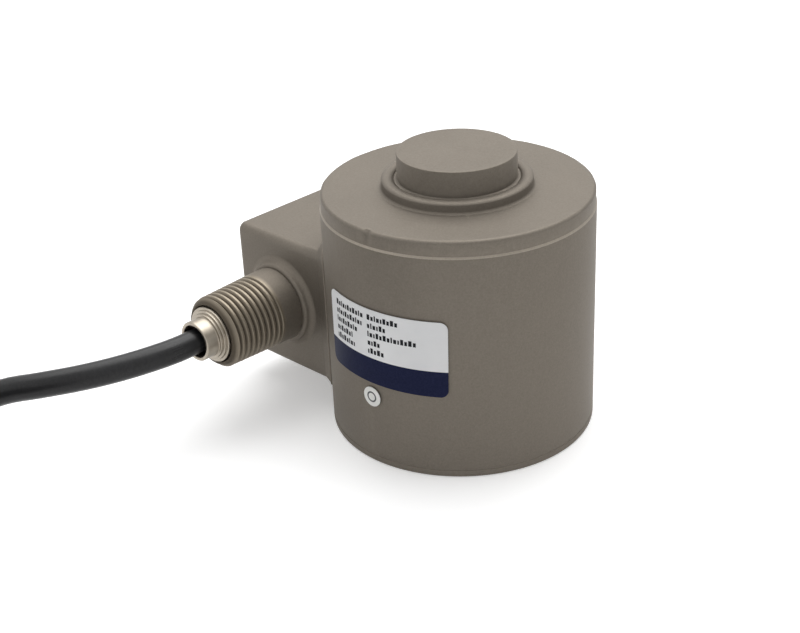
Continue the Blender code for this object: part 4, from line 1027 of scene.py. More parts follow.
turns = math.ceil((ADAPTOR_LENGTH - THREAD_LEAD_IN) / THREAD_PITCH)
columns = THREAD_STEPS * turns
rows_in_pitch = []
for place in PITCH_PLACES:
    row = []
    last = columns + THREAD_STEPS if place == 0.0 else columns
    for i in range(last + 1):
        angle = 2 * math.pi * i / THREAD_STEPS
        turn = i / THREAD_STEPS
        height = THREAD_LEAD_IN + THREAD_PITCH * (turn + place)
        radius = thread_radius(height, place, turn + place)
        height = min(height, ADAPTOR_LENGTH)
        row.append(bm.verts.new((radius * math.cos(angle), radius * math.sin(angle), height)))
    rows_in_pitch.append(row)
roots = rows_in_pitch[0]
rows_in_pitch.append(roots[THREAD_STEPS:])
for lower, upper in zip(rows_in_pitch, rows_in_pitch[1:]):
    for i in range(columns):
        bm.faces.new((lower[i], lower[i + 1], upper[i + 1], upper[i]))
below = rings[-1]
above = adaptor_ring(END_RADIUS, ADAPTOR_LENGTH)
for i in range(THREAD_STEPS):
    j = (i + 1) % THREAD_STEPS
    bm.faces.new((below[i], below[j], roots[i + 1], roots[i]))
    bm.faces.new((roots[columns + i], roots[columns + i + 1], above[j], above[i]))
bm.faces.new([below[0]] + [row[0] for row in rows_in_pitch])
mouth = adaptor_ring(OUTLET_BORE + 0.2 * MM, ADAPTOR_LENGTH)
lip = adaptor_ring(OUTLET_BORE, ADAPTOR_LENGTH - 0.2 * MM)
join_rings(above, mouth)
join_rings(mouth, lip)
join_rings(lip, rings[0])
bmesh.ops.remove_doubles(bm, verts=bm.verts, dist=0.002 * MM)
bmesh.ops.dissolve_degenerate(bm, edges=bm.edges, dist=0.001 * MM)
bmesh.ops.recalc_face_normals(bm, faces=bm.faces)
adaptor_mesh = mesh_from(bm, "threaded_outlet", 38)
adaptor = place_piece(
    "threaded_outlet", adaptor_mesh, "blasted_steel", "conduit_adaptor", matrix=outlet_turn)
print("thread:", turns, "turns,", len(adaptor_mesh.polygons), "faces")

# %% [markdown]
# ## Gland
#
# The cable enters through a bright nickel-plated gland: three low steps like stacked
# washers, then a short tube with a rolled lip. It is one spun profile with an easing on
# every corner, because plating rounds them and each one draws a thin bright ring.

# %% Stepped gland
GLAND_PROFILE = (                     # radius, height past the adaptor's end, easing
    (4.7, 6.0, 0.35), (5.7, 6.0, 0.35), (5.7, 1.95, 0.25), (6.5, 1.95, 0.2),
    (6.5, 1.3, 0.08), (7.25, 1.3, 0.2), (7.25, 0.65, 0.08), (8.0, 0.65, 0.2),
    (8.0, -4.9, 0.1), (6.9, -4.9, 0.1), (6.9, -6.3, 0.1), (8.0, -6.3, 0.1),
    (8.0, -8.0, 0.2), (6.3, -8.0, 0.1), (6.3, -1.8, 0.1), (4.7, -1.8, 0.1))

gland_points = eased([
    (radius * MM, ADAPTOR_LENGTH + height * MM, easing * MM) for radius, height, easing in GLAND_PROFILE])
gland_mesh = spun("gland_skin", gland_points, SMALL_ROUND_STEPS)
gland = place_piece("gland_skin", gland_mesh, "nickel", "gland_body", matrix=outlet_turn)
print("gland faces:", len(gland.data.polygons))

# %% [markdown]
# ## Rating label
#
# The label is a thin film bent round the wall, stuck on a touch askew. Its grid is laid
# out flat in millimetres, with the rows drawn in near the rounded corners, tipped, and
# then wrapped round the cylinder. The lower band is printed dark blue, and the field
# carries five rows of short dark dashes in two columns.

# %% Label film
LABEL_FROM = math.radians(-112.8)
LABEL_TO = math.radians(-52.7)
LABEL_BOTTOM = 25.0 * MM
LABEL_TOP = 46.7 * MM
LABEL_RADIUS = CAN_RADIUS + 0.5 * MM
LABEL_CORNER = 2.1 * MM
LABEL_TILT = math.radians(-0.9)
LABEL_BAND = 7.5 * MM
LABEL_WIDTH = (LABEL_TO - LABEL_FROM) * LABEL_RADIUS
LABEL_HEIGHT = LABEL_TOP - LABEL_BOTTOM


def on_wall(across, up, lift=0.0):
    """A spot of the flat label, from its lower left corner, wrapped round the wall."""
    aside = across - LABEL_WIDTH / 2
    rise = up - LABEL_HEIGHT / 2
    run = aside * math.cos(LABEL_TILT) - rise * math.sin(LABEL_TILT)
    climb = aside * math.sin(LABEL_TILT) + rise * math.cos(LABEL_TILT)
    angle = (LABEL_FROM + LABEL_TO) / 2 + run / LABEL_RADIUS
    radius = LABEL_RADIUS + lift
    height = (LABEL_BOTTOM + LABEL_TOP) / 2 + climb
    return Vector((radius * math.cos(angle), radius * math.sin(angle), height))


def corner_inset(up):
    """How far the label's rounded corners draw a row in at a height."""
    near = min(up, LABEL_HEIGHT - up)
    if near >= LABEL_CORNER:
        return 0.0
    return LABEL_CORNER - math.sqrt(LABEL_CORNER ** 2 - (LABEL_CORNER - near) ** 2)


corner_rows = [LABEL_CORNER * (1 - math.cos(math.pi / 2 * i / 8)) for i in range(9)]
heights = corner_rows + list(np.linspace(LABEL_CORNER, LABEL_BAND, 6)[1:])
heights += list(np.linspace(LABEL_BAND, LABEL_HEIGHT - LABEL_CORNER, 12)[1:])
heights += [LABEL_HEIGHT - row for row in corner_rows[::-1][1:]]
LABEL_COLUMNS = 64
points = []
flat_spots = []
for lift in (0.0, -0.2 * MM):
    for up in heights:
        inset = corner_inset(up)
        for i in range(LABEL_COLUMNS + 1):
            across = inset + (LABEL_WIDTH - 2 * inset) * i / LABEL_COLUMNS
            points.append(on_wall(across, up, lift))
            flat_spots.append((across / LABEL_WIDTH, up / LABEL_HEIGHT))
across_count = LABEL_COLUMNS + 1
layer_count = across_count * len(heights)
faces = []
for r in range(len(heights) - 1):
    for c in range(LABEL_COLUMNS):
        a = r * across_count + c
        quad = (a, a + 1, a + 1 + across_count, a + across_count)
        faces.append(quad)
        faces.append(tuple(layer_count + v for v in reversed(quad)))
border = list(range(across_count))
border += [across_count * r + LABEL_COLUMNS for r in range(1, len(heights))]
border += [layer_count - 1 - c for c in range(1, across_count)]
border += [across_count * r for r in range(len(heights) - 2, 0, -1)]
for a, b in zip(border, border[1:] + border[:1]):
    faces.append((a, layer_count + a, layer_count + b, b))
label_mesh = mesh_of("rating_film", points, faces, 60)
label = place_piece("rating_film", label_mesh, "label", "rating_label")
sheet_map = label_mesh.uv_layers.new(name="flat_sheet")
for loop in label_mesh.loops:
    sheet_map.data[loop.index].uv = flat_spots[loop.vertex_index]
print("label:", round(LABEL_WIDTH / MM, 1), "by", round(LABEL_HEIGHT / MM, 1), "mm")

# %% Printed dashes
DASH_HEIGHT = 1.6
DASH_GAP = 0.32
DASH_SHAPES = ((0.95, 1.0), (0.8, 0.75), (0.45, 1.0), (0.9, 0.75), (0.5, 0.75), (0.85, 1.0), (0.75, 0.75))
ROW_BOTTOM = 18.3
ROW_PITCH = 2.45
ROW_CLIMB = 0.02
PRINT_LIFT = 0.02 * MM
LEFT_WIDTHS = (12.0, 11.2, 9.6, 7.2, 8.0)
RIGHT_WIDTHS = (10.0, 6.1, 14.8, 4.4, 4.8)

COLUMN_LEFTS = (3.4, 16.4)
DASH_LEAST = 0.4                      # less than this at a row's end stays empty

points = []
faces = []
for row, widths in enumerate(zip(LEFT_WIDTHS, RIGHT_WIDTHS)):
    for column_left, row_width in zip(COLUMN_LEFTS, widths):
        across = column_left
        turn = row
        while across < column_left + row_width - DASH_LEAST:
            width, share = DASH_SHAPES[turn % len(DASH_SHAPES)]
            bottom = ROW_BOTTOM - ROW_PITCH * row + ROW_CLIMB * across
            first = len(points)
            for part_way in (0.0, 0.5, 1.0):
                spot = (across + width * part_way) * MM
                points.append(on_wall(spot, bottom * MM, PRINT_LIFT))
                points.append(on_wall(spot, (bottom + DASH_HEIGHT * share) * MM, PRINT_LIFT))
            faces.append((first, first + 2, first + 3, first + 1))
            faces.append((first + 2, first + 4, first + 5, first + 3))
            across += width + DASH_GAP
            turn += 1
dashes = place_piece("rating_print", mesh_of("rating_print", points, faces), "label")
print("dashes:", len(faces) // 2)

# %% [markdown]
# ## Inspection dot
#
# A small round sticker sits below the label. It is a disc bent to the wall: rings of
# points laid out flat and wrapped like the label. Its mark is a small dark ring.

# %% Round sticker
DOT_RADIUS = 2.85 * MM
DOT_ANGLE = math.radians(-87.3)
DOT_HEIGHT = 20.6 * MM
DOT_STEPS = 64


def dot_point(radius, angle, lift):
    turn = DOT_ANGLE + radius * math.cos(angle) / LABEL_RADIUS
    out = LABEL_RADIUS + lift
    return Vector((out * math.cos(turn), out * math.sin(turn), DOT_HEIGHT + radius * math.sin(angle)))


points = [dot_point(0, 0, 0)]
rings = [(share * DOT_RADIUS, 0.0) for share in (0.25, 0.5, 0.7, 0.82, 0.86, 0.93, 0.985)]
rings += [(DOT_RADIUS, -0.03 * MM), (DOT_RADIUS, -0.2 * MM)]
for radius, lift in rings:
    points += [dot_point(radius, 2 * math.pi * i / DOT_STEPS, lift) for i in range(DOT_STEPS)]
faces = [(0, 1 + i, 1 + (i + 1) % DOT_STEPS) for i in range(DOT_STEPS)]
for r in range(len(rings) - 1):
    for i in range(DOT_STEPS):
        a = 1 + r * DOT_STEPS + i
        b = 1 + r * DOT_STEPS + (i + 1) % DOT_STEPS
        faces.append((a, a + DOT_STEPS, b + DOT_STEPS, b))
faces.append(tuple(1 + (len(rings) - 1) * DOT_STEPS + i for i in reversed(range(DOT_STEPS))))
dot_mesh = mesh_of("inspection_sticker", points, faces, 60)
dot = place_piece("inspection_sticker", dot_mesh, "label", "inspection_dot")
print("dot faces:", len(dot_mesh.polygons))

# %% [markdown]
# ## Shared effects
#
# Several finishes need the same effect with other values, so each effect is one shader
# group: the dimples that glass beads leave, the slow clouding of handled metal, the fine
# rings of a lathe tool, and the brighter line along an edge, partly wear and partly a
# painted highlight.

# %% Building and using a group
def new_group(name, inputs, outputs):
    """An empty shader group with named sockets, and its two end nodes. An input with no
    value is a vector."""
    tree = bpy.data.node_groups.new(name, "ShaderNodeTree")
    for label, value in inputs.items():
        kind = "NodeSocketVector" if value is None else "NodeSocketFloat"
        socket = tree.interface.new_socket(name=label, in_out="INPUT", socket_type=kind)
        if value is not None:
            socket.default_value = value
    for label in outputs:
        tree.interface.new_socket(name=label, in_out="OUTPUT", socket_type="NodeSocketFloat")
    return tree, tree.nodes.new("NodeGroupInput").outputs, tree.nodes.new("NodeGroupOutput").inputs


def use_group(tree, group, **feeds):
    """The outputs of a group placed in a tree."""
    return add_node(tree, "Group", feeds, node_tree=group).outputs


def noise_at(tree, place, scale, detail, roughness=0.5):
    """A noise texture's value, from 0 to 1."""
    feeds = {"Vector": place, "Scale": scale, "Detail": detail, "Roughness": roughness}
    return add_node(tree, "TexNoise", feeds).outputs["Fac"]


def round_axis(tree, place):
    """A place's distance from the Z axis, and its height."""
    parts = add_node(tree, "SeparateXYZ", {"Vector": place}).outputs
    flat = add_node(tree, "CombineXYZ", {"X": parts["X"], "Y": parts["Y"], "Z": 0.0}).outputs["Vector"]
    return add_node(tree, "VectorMath", {0: flat}, operation="LENGTH").outputs["Value"], parts["Z"]

# %% Bead-blasted grain
blast_grain, given, gives = new_group(
    "Blasted grain", {"Place": None, "Grain": 0.25 * MM}, ("Height", "Speckle"))
per_grain = sum_up(blast_grain, "DIVIDE", 1.0, given["Grain"])
dimples = add_node(
    blast_grain, "TexVoronoi", {"Vector": given["Place"], "Scale": per_grain}, feature="SMOOTH_F1")
grit = noise_at(blast_grain, given["Place"], per_grain, 2.0)
blast_grain.links.new(sum_up(blast_grain, "ADD", dimples.outputs["Distance"], grit), gives["Height"])
coarse = sum_up(blast_grain, "MULTIPLY", per_grain, 0.42)
flecks = noise_at(blast_grain, given["Place"], coarse, 3.0, 0.7)
blast_grain.links.new(stretch(blast_grain, flecks, 0.3, 0.7), gives["Speckle"])

# %% Clouding of handled metal
clouding, given, gives = new_group("Clouding", {"Place": None, "Patch": 20 * MM}, ("Cloud", "Streak"))
per_patch = sum_up(clouding, "DIVIDE", 1.0, given["Patch"])
slow = noise_at(clouding, given["Place"], per_patch, 4.0, 0.55)
clouding.links.new(stretch(clouding, slow, 0.32, 0.68), gives["Cloud"])
upright = add_node(clouding, "Mapping", {"Vector": given["Place"], "Scale": (1.0, 1.0, 0.15)})
wiped = noise_at(clouding, upright.outputs["Vector"], sum_up(clouding, "MULTIPLY", per_patch, 5.0), 3.0)
clouding.links.new(stretch(clouding, wiped, 0.4, 0.75), gives["Streak"])

# %% Rings of a lathe tool
lathe_rings, given, gives = new_group("Lathe rings", {"Place": None, "Feed": 0.2 * MM}, ("Height",))
from_axis, height = round_axis(lathe_rings, given["Place"])
both = sum_up(lathe_rings, "ADD", from_axis, height)
per_feed = sum_up(lathe_rings, "DIVIDE", both, given["Feed"])
tool_marks = add_node(
    lathe_rings, "TexNoise", {"W": per_feed, "Scale": 1.0, "Detail": 3.0}, noise_dimensions="1D")
lathe_rings.links.new(tool_marks.outputs["Fac"], gives["Height"])

# %% Worn edges and painted edge highlights
# Paler along sharp edges: partly rubbed wear, partly a painted highlight.
edge_wear_and_highlight, given, gives = new_group("Worn edge", {"Place": None, "Reach": 0.03}, ("Edge",))
pointed = add_node(edge_wear_and_highlight, "NewGeometry").outputs["Pointiness"]
high = sum_up(edge_wear_and_highlight, "ADD", 0.5, given["Reach"])
bare = stretch(edge_wear_and_highlight, pointed, 0.505, high)
patchy = noise_at(edge_wear_and_highlight, given["Place"], 700.0, 2.0)
edge_patches = stretch(edge_wear_and_highlight, patchy, 0.3, 0.7, 0.45, 1.0)
edge_wear_and_highlight.links.new(sum_up(edge_wear_and_highlight, "MULTIPLY", bare, edge_patches), gives["Edge"])
print("groups:", [group.name for group in bpy.data.node_groups])

# %% [markdown]
# ## Building a material
#
# Every finish has the same last step: a colour, a roughness and a relief go into one
# Principled shader. Before it, two moves come back again and again. One weighs two
# textures against each other, and one tints a colour where a mask is bright.

# %% Helpers for every finish
def new_material(name, **constants):
    """A material, its tree, its Principled shader with plain values set, and the place
    on the piece that its textures follow."""
    material = bpy.data.materials.new(name)
    material.use_nodes = True
    tree = material.node_tree
    shader = tree.nodes["Principled BSDF"]
    for label, value in constants.items():
        shader.inputs[label].default_value = value
    return material, tree, shader, add_node(tree, "TexCoord").outputs["Object"]


def dress(tree, shader, colour, rough, height, strength, depth):
    """Colour, roughness and a relief of that depth linked to the shader."""
    relief = add_node(tree, "Bump", {"Height": height, "Strength": strength, "Distance": depth})
    tree.links.new(colour, shader.inputs["Base Color"])
    tree.links.new(rough, shader.inputs["Roughness"])
    tree.links.new(relief.outputs["Normal"], shader.inputs["Normal"])


def weigh(tree, first, share, second):
    """Two values added up, the first with its share and the second with the rest."""
    return sum_up(tree, "MULTIPLY_ADD", first, share, sum_up(tree, "MULTIPLY", second, 1 - share))


def tint(tree, mask, amount, colour, other):
    """The colour moved by the amount towards another where the mask is bright."""
    return blend_colours(tree, sum_up(tree, "MULTIPLY", mask, amount), colour, other)


def give(material, *pieces):
    for piece in pieces:
        piece.data.materials.clear()
        piece.data.materials.append(material)

# %% [markdown]
# ## Blasted steel
#
# The canister, its cover and the housing were blasted with glass beads after welding.
# That leaves a dull, warm grey skin of tiny dimples with no direction. It stays fully
# metallic: the colour sets how much it reflects, a rather high roughness spreads the
# reflection, the dimples break it up, and slow clouds keep a large face from looking
# printed. Its edges are tinted paler, partly for wear and partly as a painted highlight.
# The cover's weld is the same metal, smoother where it was dressed, and painted paler,
# partly for the dressing and partly as a highlight along the seam.

# %% Blasted finish
BLAST_DARK = (0.146, 0.129, 0.108, 1)
BLAST_LIGHT = (0.202, 0.180, 0.153, 1)
RUBBED_AND_LIT_EDGE = (0.31, 0.275, 0.23, 1)
BLAST_GRAIN = 0.22 * MM
GRAIN_SHARE = 0.55                    # of the tone, the rest is clouding
EDGE_WEAR_AND_HIGHLIGHT = 0.25
BLAST_RELIEF = 0.03 * MM


def blasted(name, dark, light, edge_colour, roughness):
    """A bead-blasted metal between two tones, with its edges in a third, partly rubbed wear and partly a
    painted highlight.
    """
    material, tree, shader, place = new_material(name, Metallic=1.0)
    dimpled = use_group(tree, blast_grain, Place=place, Grain=BLAST_GRAIN)
    clouds = use_group(tree, clouding, Place=place, Patch=24 * MM)
    edge_wear_glint = use_group(tree, edge_wear_and_highlight, Place=place, Reach=0.05)
    colour = blend_colours(tree, weigh(tree, dimpled["Speckle"], GRAIN_SHARE, clouds["Cloud"]), dark, light)
    colour = tint(tree, clouds["Streak"], 0.10, colour, dark)
    # Edges tinted towards a paler tone: partly rubbed wear, partly a painted highlight.
    colour = tint(tree, edge_wear_glint["Edge"], EDGE_WEAR_AND_HIGHLIGHT, colour, edge_colour)
    rough = stretch(tree, clouds["Cloud"], 0.0, 1.0, roughness - 0.04, roughness + 0.04)
    dress(tree, shader, colour, rough, dimpled["Height"], 0.35, BLAST_RELIEF)
    return material


can_metal = blasted("blasted_canister", BLAST_DARK, BLAST_LIGHT, RUBBED_AND_LIT_EDGE, 0.65)
# The seam's paler tones are partly dressed metal and partly a painted highlight.
bare_seam = blasted(
    "bare_seam", (0.235, 0.206, 0.170, 1), (0.33, 0.295, 0.249, 1), (0.36, 0.33, 0.28, 1), 0.55)
give(bare_seam, cover_weld)
blasted_pieces = (wall, base, cover, housing, housing_bead, button_weld, base_weld)
give(can_metal, *blasted_pieces)
print("blasted pieces:", len(blasted_pieces))

# %% [markdown]
# ## Column finish
#
# The button was blasted with the cover, but the neck and foot inside keep the rings of
# the lathe. One material holds both and changes over at the height where the button
# enters the cover.

# %% Steel of the column
BLASTED_ABOVE = 71.0 * MM

column_metal, tree, shader, place = new_material("column_steel", Metallic=1.0)
height = add_node(tree, "SeparateXYZ", {"Vector": place}).outputs["Z"]
outside = stretch(tree, height, BLASTED_ABOVE - 0.5 * MM, BLASTED_ABOVE + 0.5 * MM)
dimpled = use_group(tree, blast_grain, Place=place, Grain=BLAST_GRAIN)
clouds = use_group(tree, clouding, Place=place, Patch=20 * MM)
turned = use_group(tree, lathe_rings, Place=place, Feed=0.18 * MM)
edge_wear_glint = use_group(tree, edge_wear_and_highlight, Place=place, Reach=0.05)
tone = weigh(tree, dimpled["Speckle"], GRAIN_SHARE, clouds["Cloud"])
blasted_tone = blend_colours(tree, tone, BLAST_DARK, BLAST_LIGHT)
turned_tone = blend_colours(tree, turned["Height"], (0.36, 0.345, 0.32, 1), (0.5, 0.485, 0.455, 1))
colour = blend_colours(tree, outside, turned_tone, blasted_tone)
# Edges tinted paler: partly rubbed wear, partly a painted highlight.
colour = tint(tree, edge_wear_glint["Edge"], EDGE_WEAR_AND_HIGHLIGHT, colour, RUBBED_AND_LIT_EDGE)
rough = stretch(tree, outside, 0.0, 1.0, 0.30, 0.63)
rough = sum_up(tree, "ADD", rough, sum_up(tree, "MULTIPLY", clouds["Cloud"], 0.05))
grain_height = sum_up(tree, "MULTIPLY", dimpled["Height"], outside)
ring_height = sum_up(tree, "MULTIPLY", turned["Height"], sum_up(tree, "SUBTRACT", 1.0, outside))
dress(tree, shader, colour, rough, sum_up(tree, "ADD", grain_height, ring_height), 0.35, BLAST_RELIEF)
give(column_metal, column)
print("column finish:", column_metal.name)

# %% [markdown]
# ## Threaded steel
#
# The thread was cut after blasting, so it is smoother and a little yellower than the
# box. The crests carry a painted highlight and the grooves a painted shade. How far a
# spot lies under the tapering line of the crests tells them apart.

# %% Thread
thread_metal, tree, shader, place = new_material("cut_thread", Metallic=1.0)
from_axis, height = round_axis(tree, place)
past_start = sum_up(tree, "SUBTRACT", height, THREAD_START)
crest_radius = sum_up(tree, "MULTIPLY_ADD", past_start, -THREAD_TAPER, THREAD_RADIUS)
below_crest = sum_up(tree, "SUBTRACT", crest_radius, from_axis)
in_thread = stretch(tree, height, 8.2 * MM, 9.4 * MM)
on_neck = stretch(tree, height, 2.2 * MM, 2.7 * MM)
painted_groove_shade = sum_up(tree, "MULTIPLY", stretch(tree, below_crest, 0.35 * MM, 0.95 * MM), in_thread)
crest = sum_up(tree, "MULTIPLY", stretch(tree, below_crest, 0.18 * MM, 0.0), in_thread)
dimpled = use_group(tree, blast_grain, Place=place, Grain=BLAST_GRAIN)
clouds = use_group(tree, clouding, Place=place, Patch=12 * MM)
turned = use_group(tree, lathe_rings, Place=place, Feed=0.16 * MM)
tone = weigh(tree, dimpled["Speckle"], 0.5, clouds["Cloud"])
neck_tone = blend_colours(tree, tone, (0.175, 0.155, 0.130, 1), (0.240, 0.213, 0.180, 1))
cut_tone = blend_colours(tree, turned["Height"], (0.172, 0.148, 0.116, 1), (0.240, 0.207, 0.163, 1))
colour = blend_colours(tree, in_thread, neck_tone, cut_tone)
# Painted shade deep in the grooves.
colour = blend_colours(tree, painted_groove_shade, colour, (0.09, 0.075, 0.057, 1))
# Painted highlight along the crests.
colour = tint(tree, crest, 0.2, colour, (0.43, 0.37, 0.285, 1))
rough = stretch(tree, in_thread, 0.0, 1.0, 0.70, 0.60)
rough = sum_up(tree, "MULTIPLY_ADD", clouds["Cloud"], 0.06, rough)
rough = sum_up(tree, "MULTIPLY_ADD", crest, -0.12, rough)
ring_height = sum_up(tree, "MULTIPLY", turned["Height"], on_neck)
relief = sum_up(tree, "ADD", ring_height, sum_up(tree, "MULTIPLY", dimpled["Height"], 0.4))
dress(tree, shader, colour, rough, relief, 0.3, BLAST_RELIEF)
give(thread_metal, adaptor)
print("thread finish:", thread_metal.name)

# %% [markdown]
# ## Bright and turned metals
#
# The gland is nickel over brass: smooth, warm and clear, with the lathe's rings just
# visible under the plating. Screws, spacers, the clamp ring and the feedthrough's shell
# are plain turned steel, and the pins are gilded. One function makes them all from the
# lathe's rings and a little clouding.

# %% Turned finishes
def turned_metal(name, dark, light, roughness, feed, relief):
    """A turned metal between two tones, with rings one feed apart."""
    material, tree, shader, place = new_material(name, Metallic=1.0)
    rings = use_group(tree, lathe_rings, Place=place, Feed=feed)
    clouds = use_group(tree, clouding, Place=place, Patch=6 * MM)
    edge_wear_glint = use_group(tree, edge_wear_and_highlight, Place=place, Reach=0.06)
    colour = blend_colours(tree, weigh(tree, rings["Height"], 0.5, clouds["Cloud"]), dark, light)
    colour = tint(tree, clouds["Streak"], 0.25, colour, dark)
    # Edges tinted towards the light tone: partly rubbed wear, partly a painted highlight.
    colour = tint(tree, edge_wear_glint["Edge"], 0.5, colour, light)
    rough = stretch(tree, clouds["Cloud"], 0.0, 1.0, roughness - 0.04, roughness + 0.07)
    dress(tree, shader, colour, rough, rings["Height"], relief, 0.02 * MM)
    return material


nickel_plate = turned_metal(
    "nickel_plate", (0.28, 0.246, 0.20, 1), (0.43, 0.388, 0.325, 1), 0.34, 0.15 * MM, 0.06)
turned_steel = turned_metal(
    "turned_steel", (0.36, 0.35, 0.33, 1), (0.54, 0.53, 0.51, 1), 0.30, 0.15 * MM, 0.35)
gilded = turned_metal("gilded_pin", (0.66, 0.47, 0.16, 1), (0.86, 0.66, 0.28, 1), 0.22, 0.1 * MM, 0.2)
give(nickel_plate, gland)
print("turned finishes:", nickel_plate.name, turned_steel.name, gilded.name)

# %% [markdown]
# ## Cable jacket
#
# The jacket is extruded black polyurethane. Extrusion draws very fine lines along it,
# handling leaves a few dull patches, and the surface keeps a soft gloss that shows as
# one thin highlight. The lines follow the UV map that the sweep wrote.

# %% Jacket and insulation
DUST = (0.2, 0.2, 0.2, 1)
WIRE_TONES = {
    "red": ((0.42, 0.015, 0.012, 1), (0.60, 0.035, 0.025, 1)),
    "black": ((0.012, 0.012, 0.013, 1), (0.03, 0.03, 0.032, 1)),
    "green": ((0.015, 0.20, 0.045, 1), (0.03, 0.32, 0.08, 1)),
    "white": ((0.66, 0.66, 0.63, 1), (0.82, 0.82, 0.79, 1)),
}


def drawn_plastic(name, dark, light, roughness, lines, line_depth):
    """An extruded plastic with lines drawn along it, clouding and fine dust."""
    material, tree, shader, place = new_material(name, IOR=1.36)
    spot = add_node(tree, "SeparateXYZ", {"Vector": add_node(tree, "UVMap").outputs["UV"]}).outputs
    along = sum_up(tree, "MULTIPLY", spot["X"], 40.0)
    around = sum_up(tree, "MULTIPLY", spot["Y"], lines)
    stretched = add_node(tree, "CombineXYZ", {"X": along, "Y": around, "Z": 0.0})
    drawn = noise_at(tree, stretched.outputs["Vector"], 1.0, 2.0)
    clouds = use_group(tree, clouding, Place=place, Patch=15 * MM)
    dusty = use_group(tree, blast_grain, Place=place, Grain=0.3 * MM)
    colour = blend_colours(tree, clouds["Cloud"], dark, light)
    colour = tint(tree, dusty["Speckle"], 0.04, colour, DUST)
    rough = stretch(tree, clouds["Cloud"], 0.0, 1.0, roughness, roughness + 0.12)
    rough = sum_up(tree, "MULTIPLY_ADD", drawn, 0.08, rough)
    relief = sum_up(tree, "MULTIPLY_ADD", dusty["Height"], 0.12, drawn)
    dress(tree, shader, colour, rough, relief, 0.25, line_depth)
    return material


jacket = drawn_plastic(
    "cable_jacket", (0.006, 0.006, 0.0065, 1), (0.013, 0.013, 0.014, 1), 0.22, 46.0, 0.03 * MM)
give(jacket, cable)
wire_plastics = {
    colour_name: drawn_plastic("wire_" + colour_name, dark, light, 0.34, 14.0, 0.02 * MM)
    for colour_name, (dark, light) in WIRE_TONES.items()}
print("wire plastics:", len(wire_plastics))

# %% [markdown]
# ## Tinned copper, nylon and rubber
#
# A stripped lead is a twist of tinned strands, so its finish has slanting ridges made
# from a zigzag across the UV map. Nylon ties are dull black with moulding specks. Rubber
# seals are as dark and rougher still.

# %% Tinned strands
tinned, tree, shader, place = new_material("tinned_strands", Metallic=1.0)
spot = add_node(tree, "SeparateXYZ", {"Vector": add_node(tree, "UVMap").outputs["UV"]}).outputs
lay = sum_up(tree, "MULTIPLY_ADD", spot["X"], 900.0, sum_up(tree, "MULTIPLY", spot["Y"], 7.0))
strands = sum_up(tree, "PINGPONG", lay, 0.5)
clouds = use_group(tree, clouding, Place=place, Patch=3 * MM)
tone = sum_up(tree, "MULTIPLY_ADD", strands, 1.0, sum_up(tree, "MULTIPLY", clouds["Cloud"], 0.4), clamp=True)
colour = blend_colours(tree, tone, (0.35, 0.33, 0.31, 1), (0.74, 0.73, 0.71, 1))
rough = stretch(tree, clouds["Cloud"], 0.0, 1.0, 0.26, 0.42)
dress(tree, shader, colour, rough, strands, 0.8, 0.08 * MM)

for piece in lead_pieces:
    colour_name = piece.name.split("_")[0]
    bare = piece.name.endswith("core") or colour_name == "shield"
    give(tinned if bare else wire_plastics[colour_name], piece)
print("leads finished:", len(lead_pieces))

# %% Moulded plastics and rubber
def moulded(name, dark, light, roughness, grain, relief):
    """A moulded plastic or rubber between two tones, with a fine grain."""
    material, tree, shader, place = new_material(name, IOR=1.5)
    pebbled = use_group(tree, blast_grain, Place=place, Grain=grain)
    clouds = use_group(tree, clouding, Place=place, Patch=10 * MM)
    edge_wear_glint = use_group(tree, edge_wear_and_highlight, Place=place, Reach=0.06)
    tone = weigh(tree, pebbled["Speckle"], 0.4, clouds["Cloud"])
    # Edges tinted towards the light tone: partly rubbed wear, partly a painted highlight.
    colour = tint(tree, edge_wear_glint["Edge"], 0.3, blend_colours(tree, tone, dark, light), light)
    rough = stretch(tree, tone, 0.0, 1.0, roughness - 0.05, roughness + 0.08)
    dress(tree, shader, colour, rough, pebbled["Height"], relief, 0.04 * MM)
    return material


nylon = moulded("tie_nylon", (0.010, 0.010, 0.010, 1), (0.028, 0.028, 0.028, 1), 0.45, 0.4 * MM, 0.25)
rubber = moulded("seal_rubber", (0.012, 0.012, 0.012, 1), (0.03, 0.03, 0.03, 1), 0.62, 0.3 * MM, 0.4)
give(nylon, *tie_pieces)
print("moulded finishes:", nylon.name, rubber.name)

# %% [markdown]
# ## Label print
#
# The film is a satin white polyester with a printed band, and ink lies a little glossier
# than film. Band and field share one material: the UV map says which row of the sheet a
# spot is on. A low refractive index keeps the film's sheen weak.

# %% Film, ink and dot
FILM_WHITE = ((0.78, 0.785, 0.795, 1), (0.84, 0.842, 0.846, 1))
BAND_BLUE = ((0.012, 0.015, 0.042, 1), (0.018, 0.022, 0.058, 1))
PRINT_BLACK = ((0.008, 0.008, 0.010, 1), (0.02, 0.02, 0.024, 1))
DOT_WHITE = ((0.76, 0.755, 0.73, 1), (0.84, 0.835, 0.81, 1))
DOT_INK = (0.05, 0.05, 0.055, 1)
MARK_INSIDE = 0.395                   # the dot's ring mark, as shares of its radius
MARK_OUTSIDE = 0.555
MARK_SOFTNESS = 0.015

